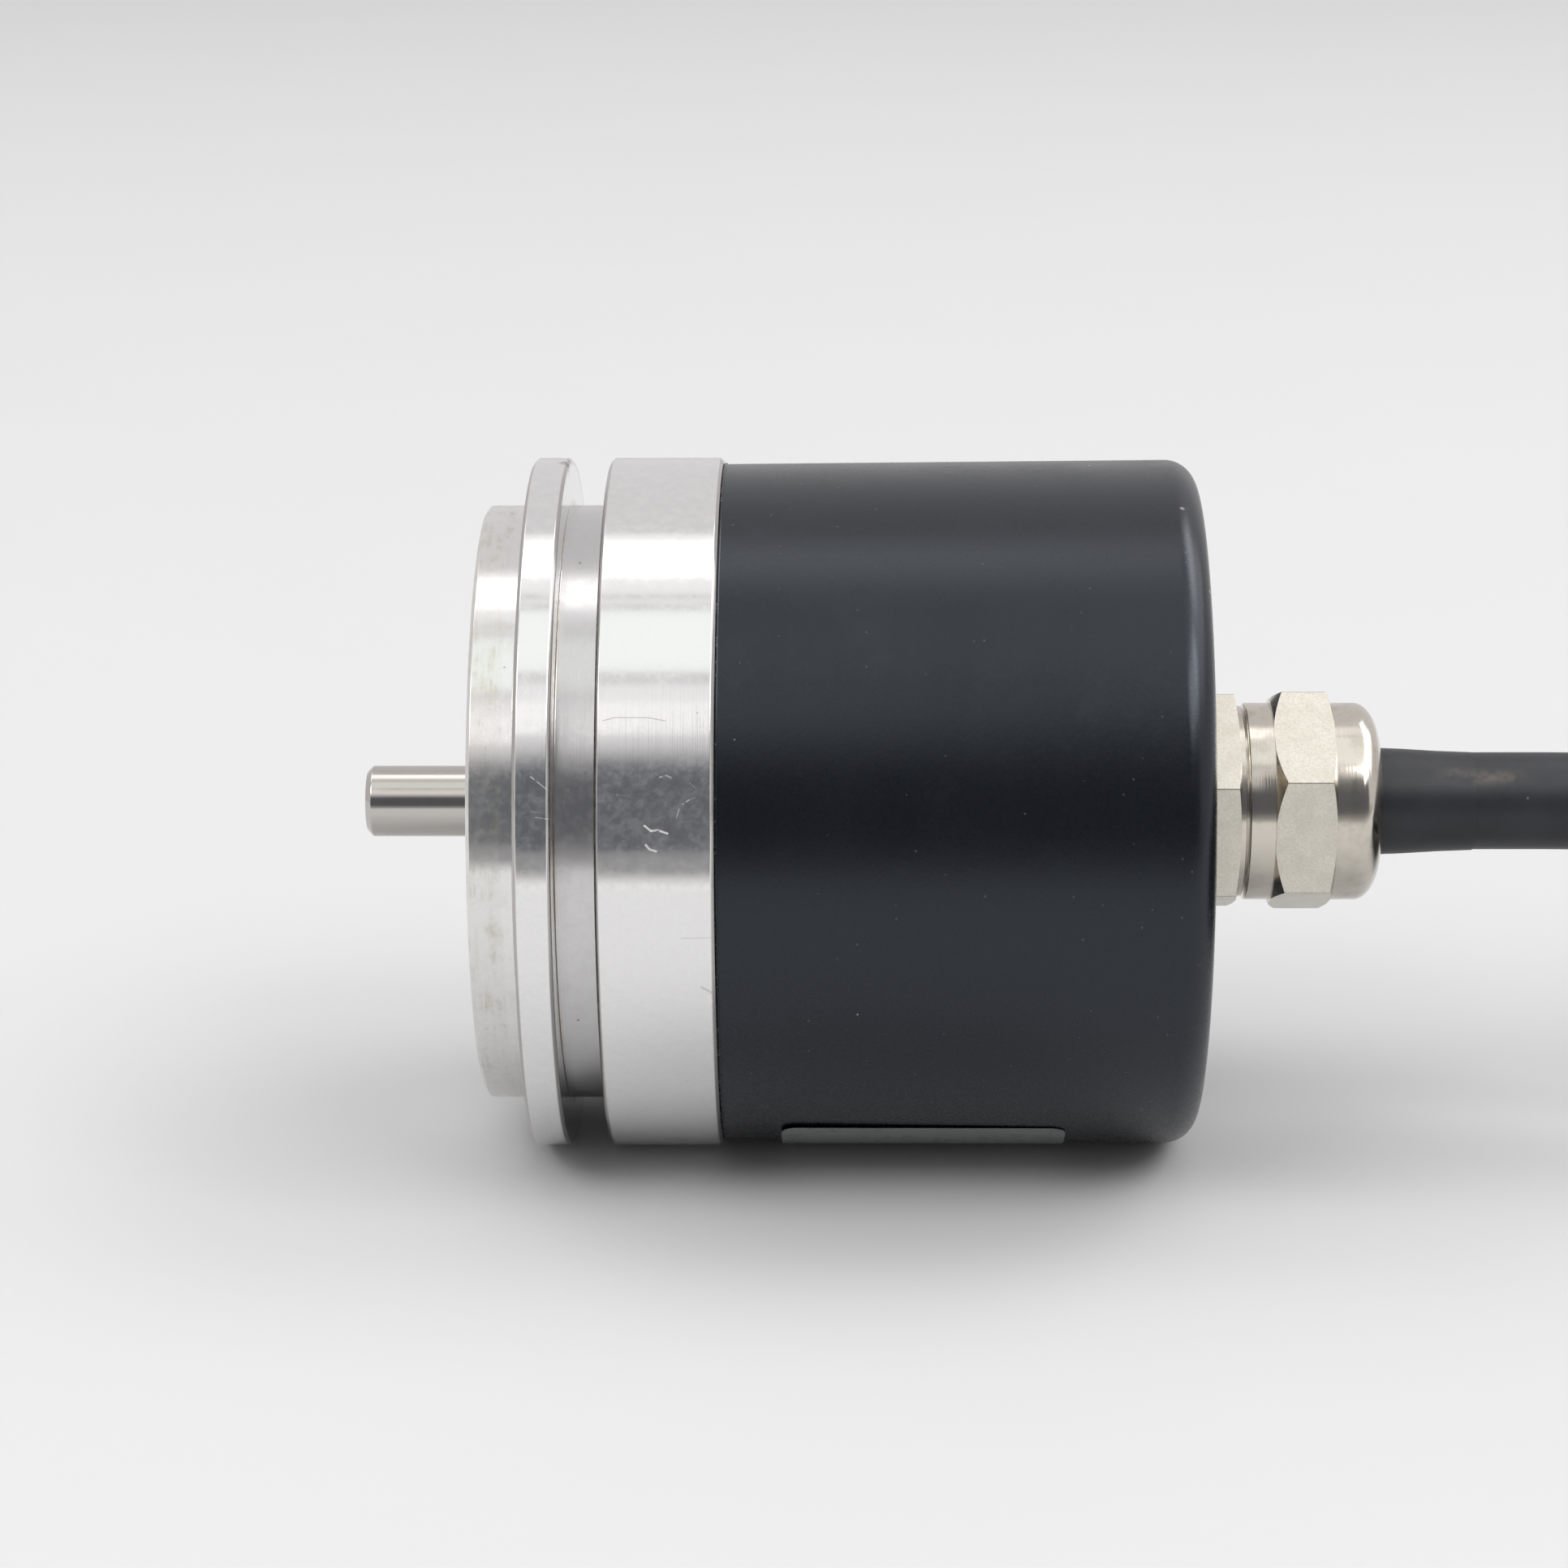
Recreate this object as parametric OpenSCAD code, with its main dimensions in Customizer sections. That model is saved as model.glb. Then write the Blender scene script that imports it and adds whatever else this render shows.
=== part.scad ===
// Rotary encoder with a 58 mm synchro flange, a plain shaft and an axial cable gland.
// Frame: the shaft axis is X and the shaft points to -X. +Z is up.
// The origin is on the shaft axis, in the plane of the mounting lip's front face.
// The encoder lies on its flange, so the surface under it is half a flange below the origin.

/* [Flange] */
// Diameter of the mounting lip and of the body ring
flange_d = 58; // [57:0.5:59]
// Diameter of the centring pilot, and of the clamp groove's floor
pilot_d = 50; // [49:0.5:51]
// Height of the pilot in front of the mounting lip
pilot_h = 4; // [3.8:0.1:5]
// Thickness of the mounting lip
lip_t = 3; // [2.5:0.1:3.2]
// Width of the clamp groove
groove_w = 3.4; // [3:0.1:3.6]
// Width of the body ring behind the groove
ring_w = 9.4; // [9.2:0.1:10]
// Circle of the mounting screws in the front face
screw_circle_d = 42; // [40:0.5:43]
// Number of mounting screws
screw_n = 3; // [3:1:4]

/* [Shaft] */
// Diameter of the shaft
shaft_d = 6; // [6:0.01:6.02]
// Length of the shaft in front of the pilot
shaft_out = 10.5; // [8:0.5:20]

/* [Cover] */
// Outer diameter of the cover
cover_d = 57.5; // [57.2:0.1:57.8]
// Distance from the mounting lip's front face to the cover's rear face
cover_end_x = 55.2; // [52:0.2:60]
// Wall of the cover
cover_wall = 2; // [1.6:0.1:2.1]
// Radius of the cover's rear edge
cover_edge_r = 2.5; // [2.4:0.1:4]

/* [Cable gland] */
// Width across flats of both hexagons
gland_af = 17; // [16.8:0.1:18]
// Diameter of the collar and of the dome
gland_round_d = 16.6; // [16.2:0.1:16.8]

/* [Cable] */
// Diameter of the cable
cable_d = 8.2; // [7.6:0.1:8.2]
// Diameter of the coil, across the middle of its turns
coil_d = 82; // [80:1:90]

/* [Hidden] */
$fn = 96;
eps = 0.01;

flange_r = flange_d / 2;
pilot_r = pilot_d / 2;
shaft_r = shaft_d / 2;
cover_r = cover_d / 2;
cover_in_r = cover_r - cover_wall;
cable_r = cable_d / 2;
floor_z = -flange_r;

// Stations along the axis
lip_x = lip_t;
groove_x = lip_x + groove_w;
ring_x = groove_x + ring_w;
edge = 0.3;              // chamfer on the turned edges
spigot_r = cover_in_r - 0.25;
spigot_x = ring_x + 5;
pocket_x = 12;           // floor of the pocket behind the front wall
pocket_r = 23.4;
hub_r = 13;
hub_x = 20.4;            // rear end of the bearing hub

// Bearings, 6 x 19 x 6
bearing_r = 9.5;
bearing_w = 6;
race_r = 6.25;           // circle of the ball centres
ball_r = 1.75;
ball_n = 7;
groove_r = 1.85;         // raceway
front_bearing_x = 0.2;
rear_bearing_x = 12.2;
front_end_x = front_bearing_x + bearing_w;
rear_end_x = rear_bearing_x + bearing_w;
seal_r = 7;
ring_groove_end_x = rear_end_x + 1.1;

// Disc and optics
track_r = 16;
disc_r = 17.5;
disc_x = 25;
disc_t = 1;
disc_bore_r = 4;
hub_front_x = 19.4;
set_screw_x = 21.4;
set_screw_r = 1.25;
lamp_screw_y = 6.5;
lamp_end_x = 24.3;
lamp_bore_r = 1.5;
mask_x = 26.5;

// Board
board_x = 28;
board_t = 1.6;
board_r = 24.5;
post_circle_r = 20.6;
post_n = 3;
post_screw_r = 1.25;
header_end_x = 36;
header_z = -14;

// Gland
gland_thread_r = 6;
gland_bore_r = 4.4;
gland_hex_w = 3.5;
gland_gap_x = cover_end_x + gland_hex_w;
gland_nut_x = gland_gap_x + 0.7;
nut_hex_x = gland_nut_x + 2.2;
nut_dome_x = nut_hex_x + 5;
gland_end_x = nut_dome_x + 4.1;
gland_tube_r = 7.1;
seat_r = 5.9;            // bore in the gland body that holds the claw
body_hex_turn = 9;       // turn of the two hexagons about the axis
nut_hex_turn = 6;

// Cable, with the stored length in a coil of four strands twisted round each other
strand_off = cable_r * sqrt(2);
bundle_r = strand_off + cable_r;
tie_t = 0.8;
tie_w = 7;
tie_angles = [0, 180];
coil_r = coil_d / 2;
coil_x = 157;
coil_y = 22;
coil_z = floor_z + tie_t + bundle_r;
jacket_start_x = 47;

// Route of the cable from inside the cover to the coil, which it joins at the side nearest the viewer
CABLE_ROUTE = [
    [47, 0, 0], [60, 0, 0], [74, 0, 0], [88, 0, 0],
    [98, -0.8, -0.4], [107, -2.8, -1.8], [115, -6, -3.8], [122, -10.8, -6.6],
    [129, -16, -9.8], [137, -19.8, -12.4], [146.5, -22.4, -14], [157, -23, -14.2]
];

// Route of the stripped cores, counted from the centre of the coil
LEADS_ROUTE = [
    [0, 41, 5.8], [-9, 40, 7], [-18, 35.5, 7.8], [-25, 27.5, 7.5],
    [-27, 19, 5], [-26.5, 13, 0], [-25, 8, -5], [-21.5, 3, -8.4]
];
leads_r = 2;
core_n = 8;
core_r = 0.4;

// ---- Helpers ----

// Turns a shape that stands on Z so that it lies along X
module along_x() {
    rotate([0, 90, 0]) children();
}

// Solid of revolution about the shaft axis, from points [radius, x]
module turned(points) {
    along_x() rotate_extrude() polygon(points);
}

module pipe(x0, x1, outer, inner) {
    along_x() rotate_extrude() translate([inner, x0]) square([outer - inner, x1 - x0]);
}

module rod(x0, x1, r) {
    along_x() translate([0, 0, x0]) cylinder(r = r, h = x1 - x0);
}

// Turns its children about the shaft axis, from the top
module around(angle) {
    rotate([angle, 0, 0]) children();
}

// Hexagonal bar along X, with a width across flats
module hex_bar(x0, x1, across, turn) {
    along_x() translate([0, 0, x0]) rotate([0, 0, turn])
        cylinder(r = across / sqrt(3), h = x1 - x0, $fn = 6);
}

// Hexagon whose corners are chamfered at the front and at the rear
module chamfered_hex(x0, x1, across, turn, front, rear) {
    flat_r = across / 2 + 0.1;
    corner_r = across / sqrt(3) + 0.1;
    intersection() {
        hex_bar(x0, x1, across, turn);
        turned([[0, x0], [flat_r, x0], [corner_r, x0 + front],
            [corner_r, x1 - rear], [flat_r, x1], [0, x1]]);
    }
}

// Split ring with a gap at the top
module split_ring(x0, x1, outer, inner, gap) {
    difference() {
        pipe(x0, x1, outer, inner);
        translate([x0 - 1, -gap / 2, 0]) cube([x1 - x0 + 2, gap, outer + 1]);
    }
}

function unit(v) = v / norm(v);

function heading(path, i) =
    let (last = len(path) - 1)
    unit(path[min(i + 1, last)] - path[max(i - 1, 0)]);

function ring_point(centre, ahead, r, angle) =
    let (side = unit(cross(ahead, [0, 0, 1])), over = cross(side, ahead))
    centre + r * cos(angle) * side + r * sin(angle) * over;

// Tube of one radius, swept along a path of points as one polyhedron
module swept_tube(path, r, sides) {
    rings = len(path);
    points = [for (i = [0 : rings - 1], k = [0 : sides - 1])
        ring_point(path[i], heading(path, i), r, 360 * k / sides)];
    walls = [for (i = [0 : rings - 2], k = [0 : sides - 1], half = [0, 1])
        let (a = i * sides, b = a + sides, next = (k + 1) % sides)
        half == 0 ? [a + k, b + next, b + k] : [a + k, a + next, b + next]];
    last = (rings - 1) * sides;
    ends = [for (k = [1 : sides - 2], back = [0, 1])
        back == 0 ? [0, k + 1, k] : [last, last + k, last + k + 1]];
    polyhedron(points, concat(walls, ends));
}

// ---- Flange and shaft ----

module flange() {
    color([0.8, 0.8, 0.81])
    difference() {
        turned([
            [0, -pilot_h], [pilot_r - edge, -pilot_h], [pilot_r, -pilot_h + edge], [pilot_r, 0],
            [flange_r - edge, 0], [flange_r, edge], [flange_r, lip_x - edge], [flange_r - edge, lip_x],
            [pilot_r, lip_x], [pilot_r, groove_x], [flange_r - edge, groove_x],
            [flange_r, groove_x + edge], [flange_r, ring_x - edge], [flange_r - edge, ring_x],
            [spigot_r, ring_x], [spigot_r, spigot_x], [pocket_r, spigot_x], [pocket_r, pocket_x],
            [hub_r, pocket_x], [hub_r, hub_x], [0, hub_x]
        ]);
        rod(-pilot_h - 1, front_bearing_x, seal_r);
        rod(front_bearing_x - eps, hub_x + 1, bearing_r);
        pipe(rear_end_x, ring_groove_end_x, bearing_r + 0.6, bearing_r - 1);
        pipe(ring_x + 1.6, ring_x + 3.4, spigot_r + 1, spigot_r - 1.2);
        mounting_screw_holes();
        lamp_screw_rods(8.5, pocket_x + eps);
    }
}

module mounting_screw_holes() {
    depth = 8;
    tap_r = 1.65;
    for (i = [0 : screw_n - 1])
        around(i * 360 / screw_n) translate([0, 0, screw_circle_d / 2])
            rod(-pilot_h - 1, -pilot_h + depth, tap_r);
}

module lamp_screw_rods(x0, x1) {
    for (side = [-1, 1])
        translate([0, side * lamp_screw_y, track_r]) rod(x0, x1, 1);
}

module shaft() {
    tip = -pilot_h - shaft_out;
    relief_r = shaft_r - 0.2;
    ring_seat_r = shaft_r - 0.45;
    color([0.72, 0.71, 0.69])
    turned([
        [0, tip], [shaft_r - 0.5, tip], [shaft_r, tip + 0.5],
        [shaft_r, -pilot_h], [relief_r, -pilot_h], [relief_r, -pilot_h + 0.8], [shaft_r, -pilot_h + 0.8],
        [shaft_r, rear_end_x], [ring_seat_r, rear_end_x],
        [ring_seat_r, rear_end_x + 0.8], [shaft_r, rear_end_x + 0.8],
        [shaft_r, 26.5], [shaft_r - 0.3, 26.8], [0, 26.8]
    ]);
}

module shaft_seal() {
    lip_r = shaft_r + 0.03;
    color([0.12, 0.12, 0.13])
    turned([
        [seal_r, -3.7], [seal_r, -0.9], [6.3, -0.9], [6.3, -2.9], [4.4, -2.9],
        [3.7, -1.7], [lip_r, -2], [3.6, -3.7]
    ]);
}

// ---- Bearings ----

module bearing_outer_ring(x) {
    color([0.75, 0.76, 0.78])
    along_x() rotate_extrude() difference() {
        translate([7.6, x]) square([bearing_r - 7.6, bearing_w]);
        translate([race_r, x + bearing_w / 2]) circle(groove_r);
    }
}

module bearing_inner_ring(x) {
    color([0.75, 0.76, 0.78])
    along_x() rotate_extrude() difference() {
        translate([shaft_r, x]) square([5 - shaft_r, bearing_w]);
        translate([race_r, x + bearing_w / 2]) circle(groove_r);
    }
}

module ball_set(x, r) {
    for (i = [0 : ball_n - 1])
        around(i * 360 / ball_n) translate([x + bearing_w / 2, 0, race_r]) sphere(r);
}

module bearing_balls(x) {
    color([0.82, 0.83, 0.85]) ball_set(x, ball_r);
}

module bearing_cage(x) {
    cage_w = 4.4;
    middle = x + bearing_w / 2;
    color([0.78, 0.66, 0.4])
    difference() {
        pipe(middle - cage_w / 2, middle + cage_w / 2, 7, 5.5);
        ball_set(x, ball_r + 0.05);
    }
}

module front_bearing_outer_ring() { bearing_outer_ring(front_bearing_x); }
module front_bearing_inner_ring() { bearing_inner_ring(front_bearing_x); }
module front_bearing_balls() { bearing_balls(front_bearing_x); }
module front_bearing_cage() { bearing_cage(front_bearing_x); }
module rear_bearing_outer_ring() { bearing_outer_ring(rear_bearing_x); }
module rear_bearing_inner_ring() { bearing_inner_ring(rear_bearing_x); }
module rear_bearing_balls() { bearing_balls(rear_bearing_x); }
module rear_bearing_cage() { bearing_cage(rear_bearing_x); }

module outer_spacer() {
    color([0.7, 0.71, 0.72]) pipe(front_end_x, rear_bearing_x - 1.4, 9.4, 8);
}

// Cone spring between the outer spacer and the rear bearing's outer ring
module preload_washer() {
    x0 = rear_bearing_x - 1.4;
    color([0.45, 0.46, 0.48])
    turned([[9.3, x0], [9.3, x0 + 0.4], [7.9, rear_bearing_x], [7.9, rear_bearing_x - 0.4]]);
}

module inner_spacer() {
    color([0.7, 0.71, 0.72]) pipe(front_end_x, rear_bearing_x, 4.4, shaft_r);
}

module bearing_retaining_ring() {
    color([0.3, 0.3, 0.32]) split_ring(rear_end_x, rear_end_x + 1, bearing_r + 0.6, 8, 3);
}

module shaft_retaining_ring() {
    color([0.3, 0.3, 0.32]) split_ring(rear_end_x, rear_end_x + 0.7, 4.7, shaft_r - 0.45, 2);
}

// ---- Disc ----

module disc_hub() {
    color([0.8, 0.66, 0.35])
    difference() {
        turned([
            [shaft_r, hub_front_x], [7, hub_front_x], [7, 23.5], [8.6, 23.5],
            [8.6, disc_x], [disc_bore_r, disc_x], [disc_bore_r, 26.8], [shaft_r, 26.8]
        ]);
        hub_screw_rods(shaft_r - 1, 8, set_screw_r);
    }
}

// Two radial rods a quarter turn apart, where the grub screws sit
module hub_screw_rods(r0, r1, r) {
    for (angle = [0, 90])
        around(angle) translate([set_screw_x, 0, r0]) cylinder(r = r, h = r1 - r0);
}

module hub_set_screws() {
    top = 6.8;
    color([0.2, 0.2, 0.22])
    difference() {
        hub_screw_rods(shaft_r, top, set_screw_r);
        for (angle = [0, 90])
            around(angle) translate([set_screw_x, 0, top - 1.3]) cylinder(r = 0.75, h = 2, $fn = 6);
    }
}

module code_disc() {
    color([0.7, 0.85, 0.85, 0.6]) pipe(disc_x, disc_x + disc_t, disc_r, disc_bore_r);
}

module disc_clamp_ring() {
    color([0.8, 0.66, 0.35]) pipe(disc_x + disc_t, disc_x + disc_t + 0.6, 7.6, disc_bore_r);
}

// ---- Optics ----

module lamp_holder() {
    half = 2.6;
    color([0.15, 0.15, 0.16])
    difference() {
        union() {
            translate([pocket_x, -4.2, track_r - half]) cube([lamp_end_x - pocket_x, 8.4, 2 * half]);
            translate([pocket_x, -8.5, track_r - half]) cube([2.2, 17, 2 * half]);
        }
        translate([0, 0, track_r]) rod(16, lamp_end_x + 1, lamp_bore_r);
        lamp_screw_rods(pocket_x - 1, pocket_x + 3);
    }
}

module lamp_screws() {
    head_x = pocket_x + 2.2;
    color([0.75, 0.75, 0.77]) {
        lamp_screw_rods(8.5, head_x);
        difference() {
            for (side = [-1, 1])
                translate([0, side * lamp_screw_y, track_r]) rod(head_x, head_x + 1.3, 1.9);
            translate([head_x + 0.7, -9, track_r - 0.25]) cube([1, 18, 0.5]);
        }
    }
}

module led_emitter() {
    color([0.9, 0.45, 0.4, 0.8])
    translate([0, 0, track_r]) {
        rod(16, 19.3, lamp_bore_r);
        translate([19.3, 0, 0]) sphere(lamp_bore_r);
    }
}

// Plano-convex lens, flat towards the lamp
module collimator_lens() {
    flat_x = 22.2;
    bulge_r = 2;
    color([0.85, 0.9, 0.95, 0.5])
    translate([0, 0, track_r]) along_x() rotate_extrude() intersection() {
        translate([0, flat_x]) square([lamp_bore_r, 2]);
        translate([0, flat_x - 0.1]) circle(bulge_r);
    }
}

module scanning_mask() {
    color([0.7, 0.85, 0.85, 0.6]) translate([mask_x, -4, track_r - 2.6]) cube([0.7, 8, 5.2]);
}

module sensor_chip() {
    front_x = mask_x + 0.7;
    color([0.14, 0.14, 0.16]) translate([front_x, -4.5, track_r - 3.2]) cube([board_x - front_x, 9, 6.4]);
}

// ---- Board ----

// Puts its children at the board's posts, which leave the top free for the optics
module at_posts() {
    for (i = [0 : post_n - 1])
        around(60 + i * 360 / post_n) translate([0, 0, post_circle_r]) children();
}

module circuit_board() {
    color([0.05, 0.35, 0.2])
    difference() {
        rod(board_x, board_x + board_t, board_r);
        at_posts() rod(board_x - 1, board_x + board_t + 1, post_screw_r);
    }
}

// A box on the rear of the board, from [y, z, width, height, thickness]
module chip(spec) {
    translate([board_x + board_t, spec[0] - spec[2] / 2, spec[1] - spec[3] / 2])
        cube([spec[4], spec[2], spec[3]]);
}

module board_components() {
    chips = [[0, 4, 10, 10, 1.4], [-12, 2, 5, 6, 1.5], [12, 2, 5, 6, 1.5], [0, 16, 9, 4, 1.6]];
    color([0.13, 0.13, 0.14]) for (c = chips) chip(c);
    color([0.62, 0.5, 0.36]) {
        for (y = [-15 : 3 : 15]) chip([y, -6, 1.2, 2, 0.8]);
        for (y = [-7.5, -4.5, 4.5, 7.5]) chip([y, 11.5, 2, 1.2, 0.7]);
    }
    color([0.75, 0.75, 0.77])
        for (y = [-12, 12]) translate([0, y, 10]) rod(board_x + board_t, board_x + board_t + 5, 2);
}

module board_standoffs() {
    color([0.8, 0.68, 0.38])
    difference() {
        at_posts() hex_bar(pocket_x, board_x, 4.5, 0);
        at_posts() rod(21, board_x + 1, post_screw_r);
    }
}

module board_screws() {
    head_x = board_x + board_t;
    color([0.75, 0.75, 0.77])
    difference() {
        at_posts() {
            rod(22, head_x, post_screw_r);
            rod(head_x, head_x + 1.8, 2.4);
        }
        at_posts() {
            translate([head_x + 1, -2, -0.35]) cube([2, 4, 0.7]);
            translate([head_x + 1, -0.35, -2]) cube([2, 0.7, 4]);
        }
    }
}

function core_y(i) = (i - (core_n - 1) / 2) * 2.4;

// Place of a core where it leaves the jacket: two rows of four, set off from each other
function core_end(i) = [(i - (core_n - 1) / 2) * 0.8, (i % 2 - 0.5) * 2.4];

module wire_header() {
    color([0.9, 0.9, 0.86])
    difference() {
        translate([board_x + board_t, -10.4, header_z - 2.7])
            cube([header_end_x - board_x - board_t, 20.8, 5.4]);
        for (i = [0 : core_n - 1])
            translate([0, core_y(i), header_z]) rod(header_end_x - 2, header_end_x + 1, core_r);
    }
}

// Path of a core from the header to the jacket, in steps of [x, share of the way across]
function inner_lead_path(i) =
    let (from = [core_y(i), header_z], to = core_end(i))
    let (bend = [[39, 0.1], [41, 0.35], [43, 0.68], [44.6, 0.94]])
    let (steps = concat([[34, 0], [37, 0]], bend, [[46, 1], [jacket_start_x, 1]]))
    [for (step = steps)
        let (at = (1 - step[1]) * from + step[1] * to) [step[0], at[0], at[1]]];

module inner_leads() {
    colours = ["white", "brown", "green", "gold", "gray", "pink", "blue", "red"];
    for (i = [0 : core_n - 1])
        color(colours[i]) swept_tube(inner_lead_path(i), core_r, 6);
}

// ---- Cover ----

// Outline of a cup that is open at the front and round at its rear edge, in [radius, x]
module cup_2d(x0, x1, r, corner) {
    translate([0, x0]) square([r, x1 - corner - x0]);
    translate([0, x0]) square([r - corner, x1 - x0]);
    translate([r - corner, x1 - corner]) circle(corner);
}

module cover() {
    lead_in = 0.3;
    color([0.1, 0.11, 0.13])
    difference() {
        along_x() rotate_extrude() difference() {
            cup_2d(ring_x, cover_end_x, cover_r, cover_edge_r);
            cup_2d(ring_x - 1, cover_end_x - cover_wall, cover_in_r, cover_edge_r - cover_wall);
            translate([cover_r, ring_x]) rotate(45) square(lead_in * sqrt(2), center = true);
        }
        rod(cover_end_x - cover_wall - 1, cover_end_x + 1, gland_thread_r);
    }
}

module cover_o_ring() {
    section_r = 0.72;
    color([0.1, 0.1, 0.1])
    along_x() rotate_extrude() translate([cover_in_r - section_r, ring_x + 2.5]) circle(section_r);
}

// Blank label, bent round the lower front of the cover
module nameplate() {
    label_w = 23.4;
    label_x = 20.7;
    label_arc = 60;
    front_angle = 144;   // upper edge, from the top of the cover towards the viewer
    color([0.62, 0.64, 0.65])
    around(front_angle) along_x() rotate([0, 0, 180])
        rotate_extrude(angle = label_arc) translate([cover_r, label_x]) square([0.1, label_w]);
}

// ---- Cable gland ----

module gland_body() {
    color([0.78, 0.77, 0.72])
    difference() {
        union() {
            pipe(cover_end_x - 5.2, gland_gap_x, gland_thread_r, gland_bore_r);
            chamfered_hex(cover_end_x, gland_gap_x, gland_af, body_hex_turn, 0.4, 0.3);
            pipe(gland_gap_x, gland_gap_x + 0.5, gland_round_d / 2 - 0.25, gland_bore_r);
            pipe(gland_gap_x, nut_dome_x - 0.2, gland_tube_r, gland_bore_r);
        }
        rod(cover_end_x - 6, nut_dome_x, gland_bore_r);
        rod(nut_hex_x - 0.6, nut_dome_x, seat_r);
        pipe(cover_end_x - 1, cover_end_x + 1.4, 8, 6.5);
    }
}

module gland_locknut() {
    wall_x = cover_end_x - cover_wall;
    color([0.78, 0.77, 0.72])
    difference() {
        chamfered_hex(wall_x - 3, wall_x, 15, 0, 0.6, 0.6);
        rod(wall_x - 4, wall_x + 1, gland_thread_r);
    }
}

module gland_o_ring() {
    color([0.1, 0.1, 0.1])
    along_x() rotate_extrude() translate([7.25, cover_end_x + 0.7]) circle(0.7);
}

// Slotted clamp insert, which the nut's cone presses on the seal
module gland_claw() {
    x0 = nut_hex_x - 0.5;
    tip_x = nut_dome_x + 2;
    slot_n = 8;
    color([0.16, 0.16, 0.17])
    difference() {
        turned([
            [4.95, x0], [seat_r - 0.05, x0], [seat_r - 0.05, nut_dome_x],
            [5.3, tip_x], [4.95, tip_x]
        ]);
        for (i = [0 : slot_n - 1])
            around(i * 360 / slot_n) translate([nut_hex_x + 2.2, -0.3, 3]) cube([8, 0.6, 5]);
    }
}

// Rubber sleeve with a tapered tail that leaves the nut along the cable
module gland_seal() {
    inner = cable_r + 0.02;
    tail_x = gland_end_x + 8;
    color([0.09, 0.09, 0.1])
    turned([
        [inner, nut_hex_x], [4.9, nut_hex_x], [4.9, nut_dome_x + 2.2], [4.5, nut_dome_x + 3],
        [4.5, gland_end_x], [4.38, gland_end_x + 3], [inner + 0.1, tail_x], [inner, tail_x]
    ]);
}

module gland_nut() {
    round_r = gland_round_d / 2;
    dome_corner = 2.8;
    color([0.8, 0.79, 0.74])
    difference() {
        union() {
            pipe(gland_nut_x, nut_hex_x, round_r, gland_tube_r);
            chamfered_hex(nut_hex_x, nut_dome_x, gland_af, nut_hex_turn, 0.9, 0.5);
            along_x() rotate_extrude() cup_2d(nut_dome_x - 1, gland_end_x, round_r, dome_corner);
        }
        rod(gland_nut_x - 1, nut_dome_x + 0.2, gland_tube_r + 0.05);
        turned([[0, nut_dome_x], [gland_tube_r + 0.05, nut_dome_x + 0.2 - eps], [4.7, nut_dome_x + 2.9],
            [4.7, gland_end_x + 1], [0, gland_end_x + 1]]);
    }
}

// ---- Cable ----

module cable_run() {
    color([0.13, 0.13, 0.14]) swept_tube(CABLE_ROUTE, cable_r, 12);
}

module at_coil() {
    translate([coil_x, coil_y, coil_z]) children();
}

module cable_coil() {
    color([0.13, 0.13, 0.14])
    at_coil() rotate_extrude() translate([coil_r, 0]) circle(bundle_r);
}

module coil_ties() {
    color([0.07, 0.07, 0.08])
    for (angle = tie_angles)
        at_coil() rotate([0, 0, angle]) translate([coil_r, tie_w / 2, 0]) rotate([90, 0, 0])
            rotate_extrude() translate([bundle_r, 0]) square([tie_t, tie_w]);
}

module lead_ends() {
    color([0.7, 0.7, 0.72])
    at_coil() swept_tube(LEADS_ROUTE, leads_r, 8);
}

flange();
shaft();
shaft_seal();
front_bearing_outer_ring();
front_bearing_inner_ring();
front_bearing_balls();
front_bearing_cage();
rear_bearing_outer_ring();
rear_bearing_inner_ring();
rear_bearing_balls();
rear_bearing_cage();
outer_spacer();
preload_washer();
inner_spacer();
bearing_retaining_ring();
shaft_retaining_ring();
disc_hub();
hub_set_screws();
code_disc();
disc_clamp_ring();
lamp_holder();
lamp_screws();
led_emitter();
collimator_lens();
scanning_mask();
sensor_chip();
circuit_board();
board_components();
board_standoffs();
board_screws();
wire_header();
inner_leads();
cover();
cover_o_ring();
nameplate();
gland_body();
gland_locknut();
gland_o_ring();
gland_claw();
gland_seal();
gland_nut();
cable_run();
cable_coil();
coil_ties();
lead_ends();
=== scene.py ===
"""Looks of a rotary encoder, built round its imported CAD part.

Detailed pieces replace the CAD nodes that show, every other node gets a material of its own, and a stage,
lights and a camera are set round them.
"""

import math

import bmesh
import bpy
from mathutils import Matrix, Vector


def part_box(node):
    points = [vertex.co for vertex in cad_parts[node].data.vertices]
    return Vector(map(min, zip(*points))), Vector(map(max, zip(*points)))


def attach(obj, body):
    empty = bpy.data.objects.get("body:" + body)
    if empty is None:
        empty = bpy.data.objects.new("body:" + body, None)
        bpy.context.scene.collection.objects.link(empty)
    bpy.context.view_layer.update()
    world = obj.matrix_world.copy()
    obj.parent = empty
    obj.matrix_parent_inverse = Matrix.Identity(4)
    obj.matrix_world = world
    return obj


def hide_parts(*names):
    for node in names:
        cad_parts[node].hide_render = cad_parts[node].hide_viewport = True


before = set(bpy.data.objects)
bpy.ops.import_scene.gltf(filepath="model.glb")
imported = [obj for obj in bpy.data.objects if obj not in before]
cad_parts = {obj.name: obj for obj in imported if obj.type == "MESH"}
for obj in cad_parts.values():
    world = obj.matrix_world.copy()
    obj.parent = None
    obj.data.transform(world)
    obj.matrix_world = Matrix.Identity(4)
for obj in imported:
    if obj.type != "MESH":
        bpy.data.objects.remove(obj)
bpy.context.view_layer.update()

MM = 0.001
ROOT = "housing"
ROTOR = "rotor"

# ---- Sizes, in mm in the row frame, as in the CAD part ----

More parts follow.
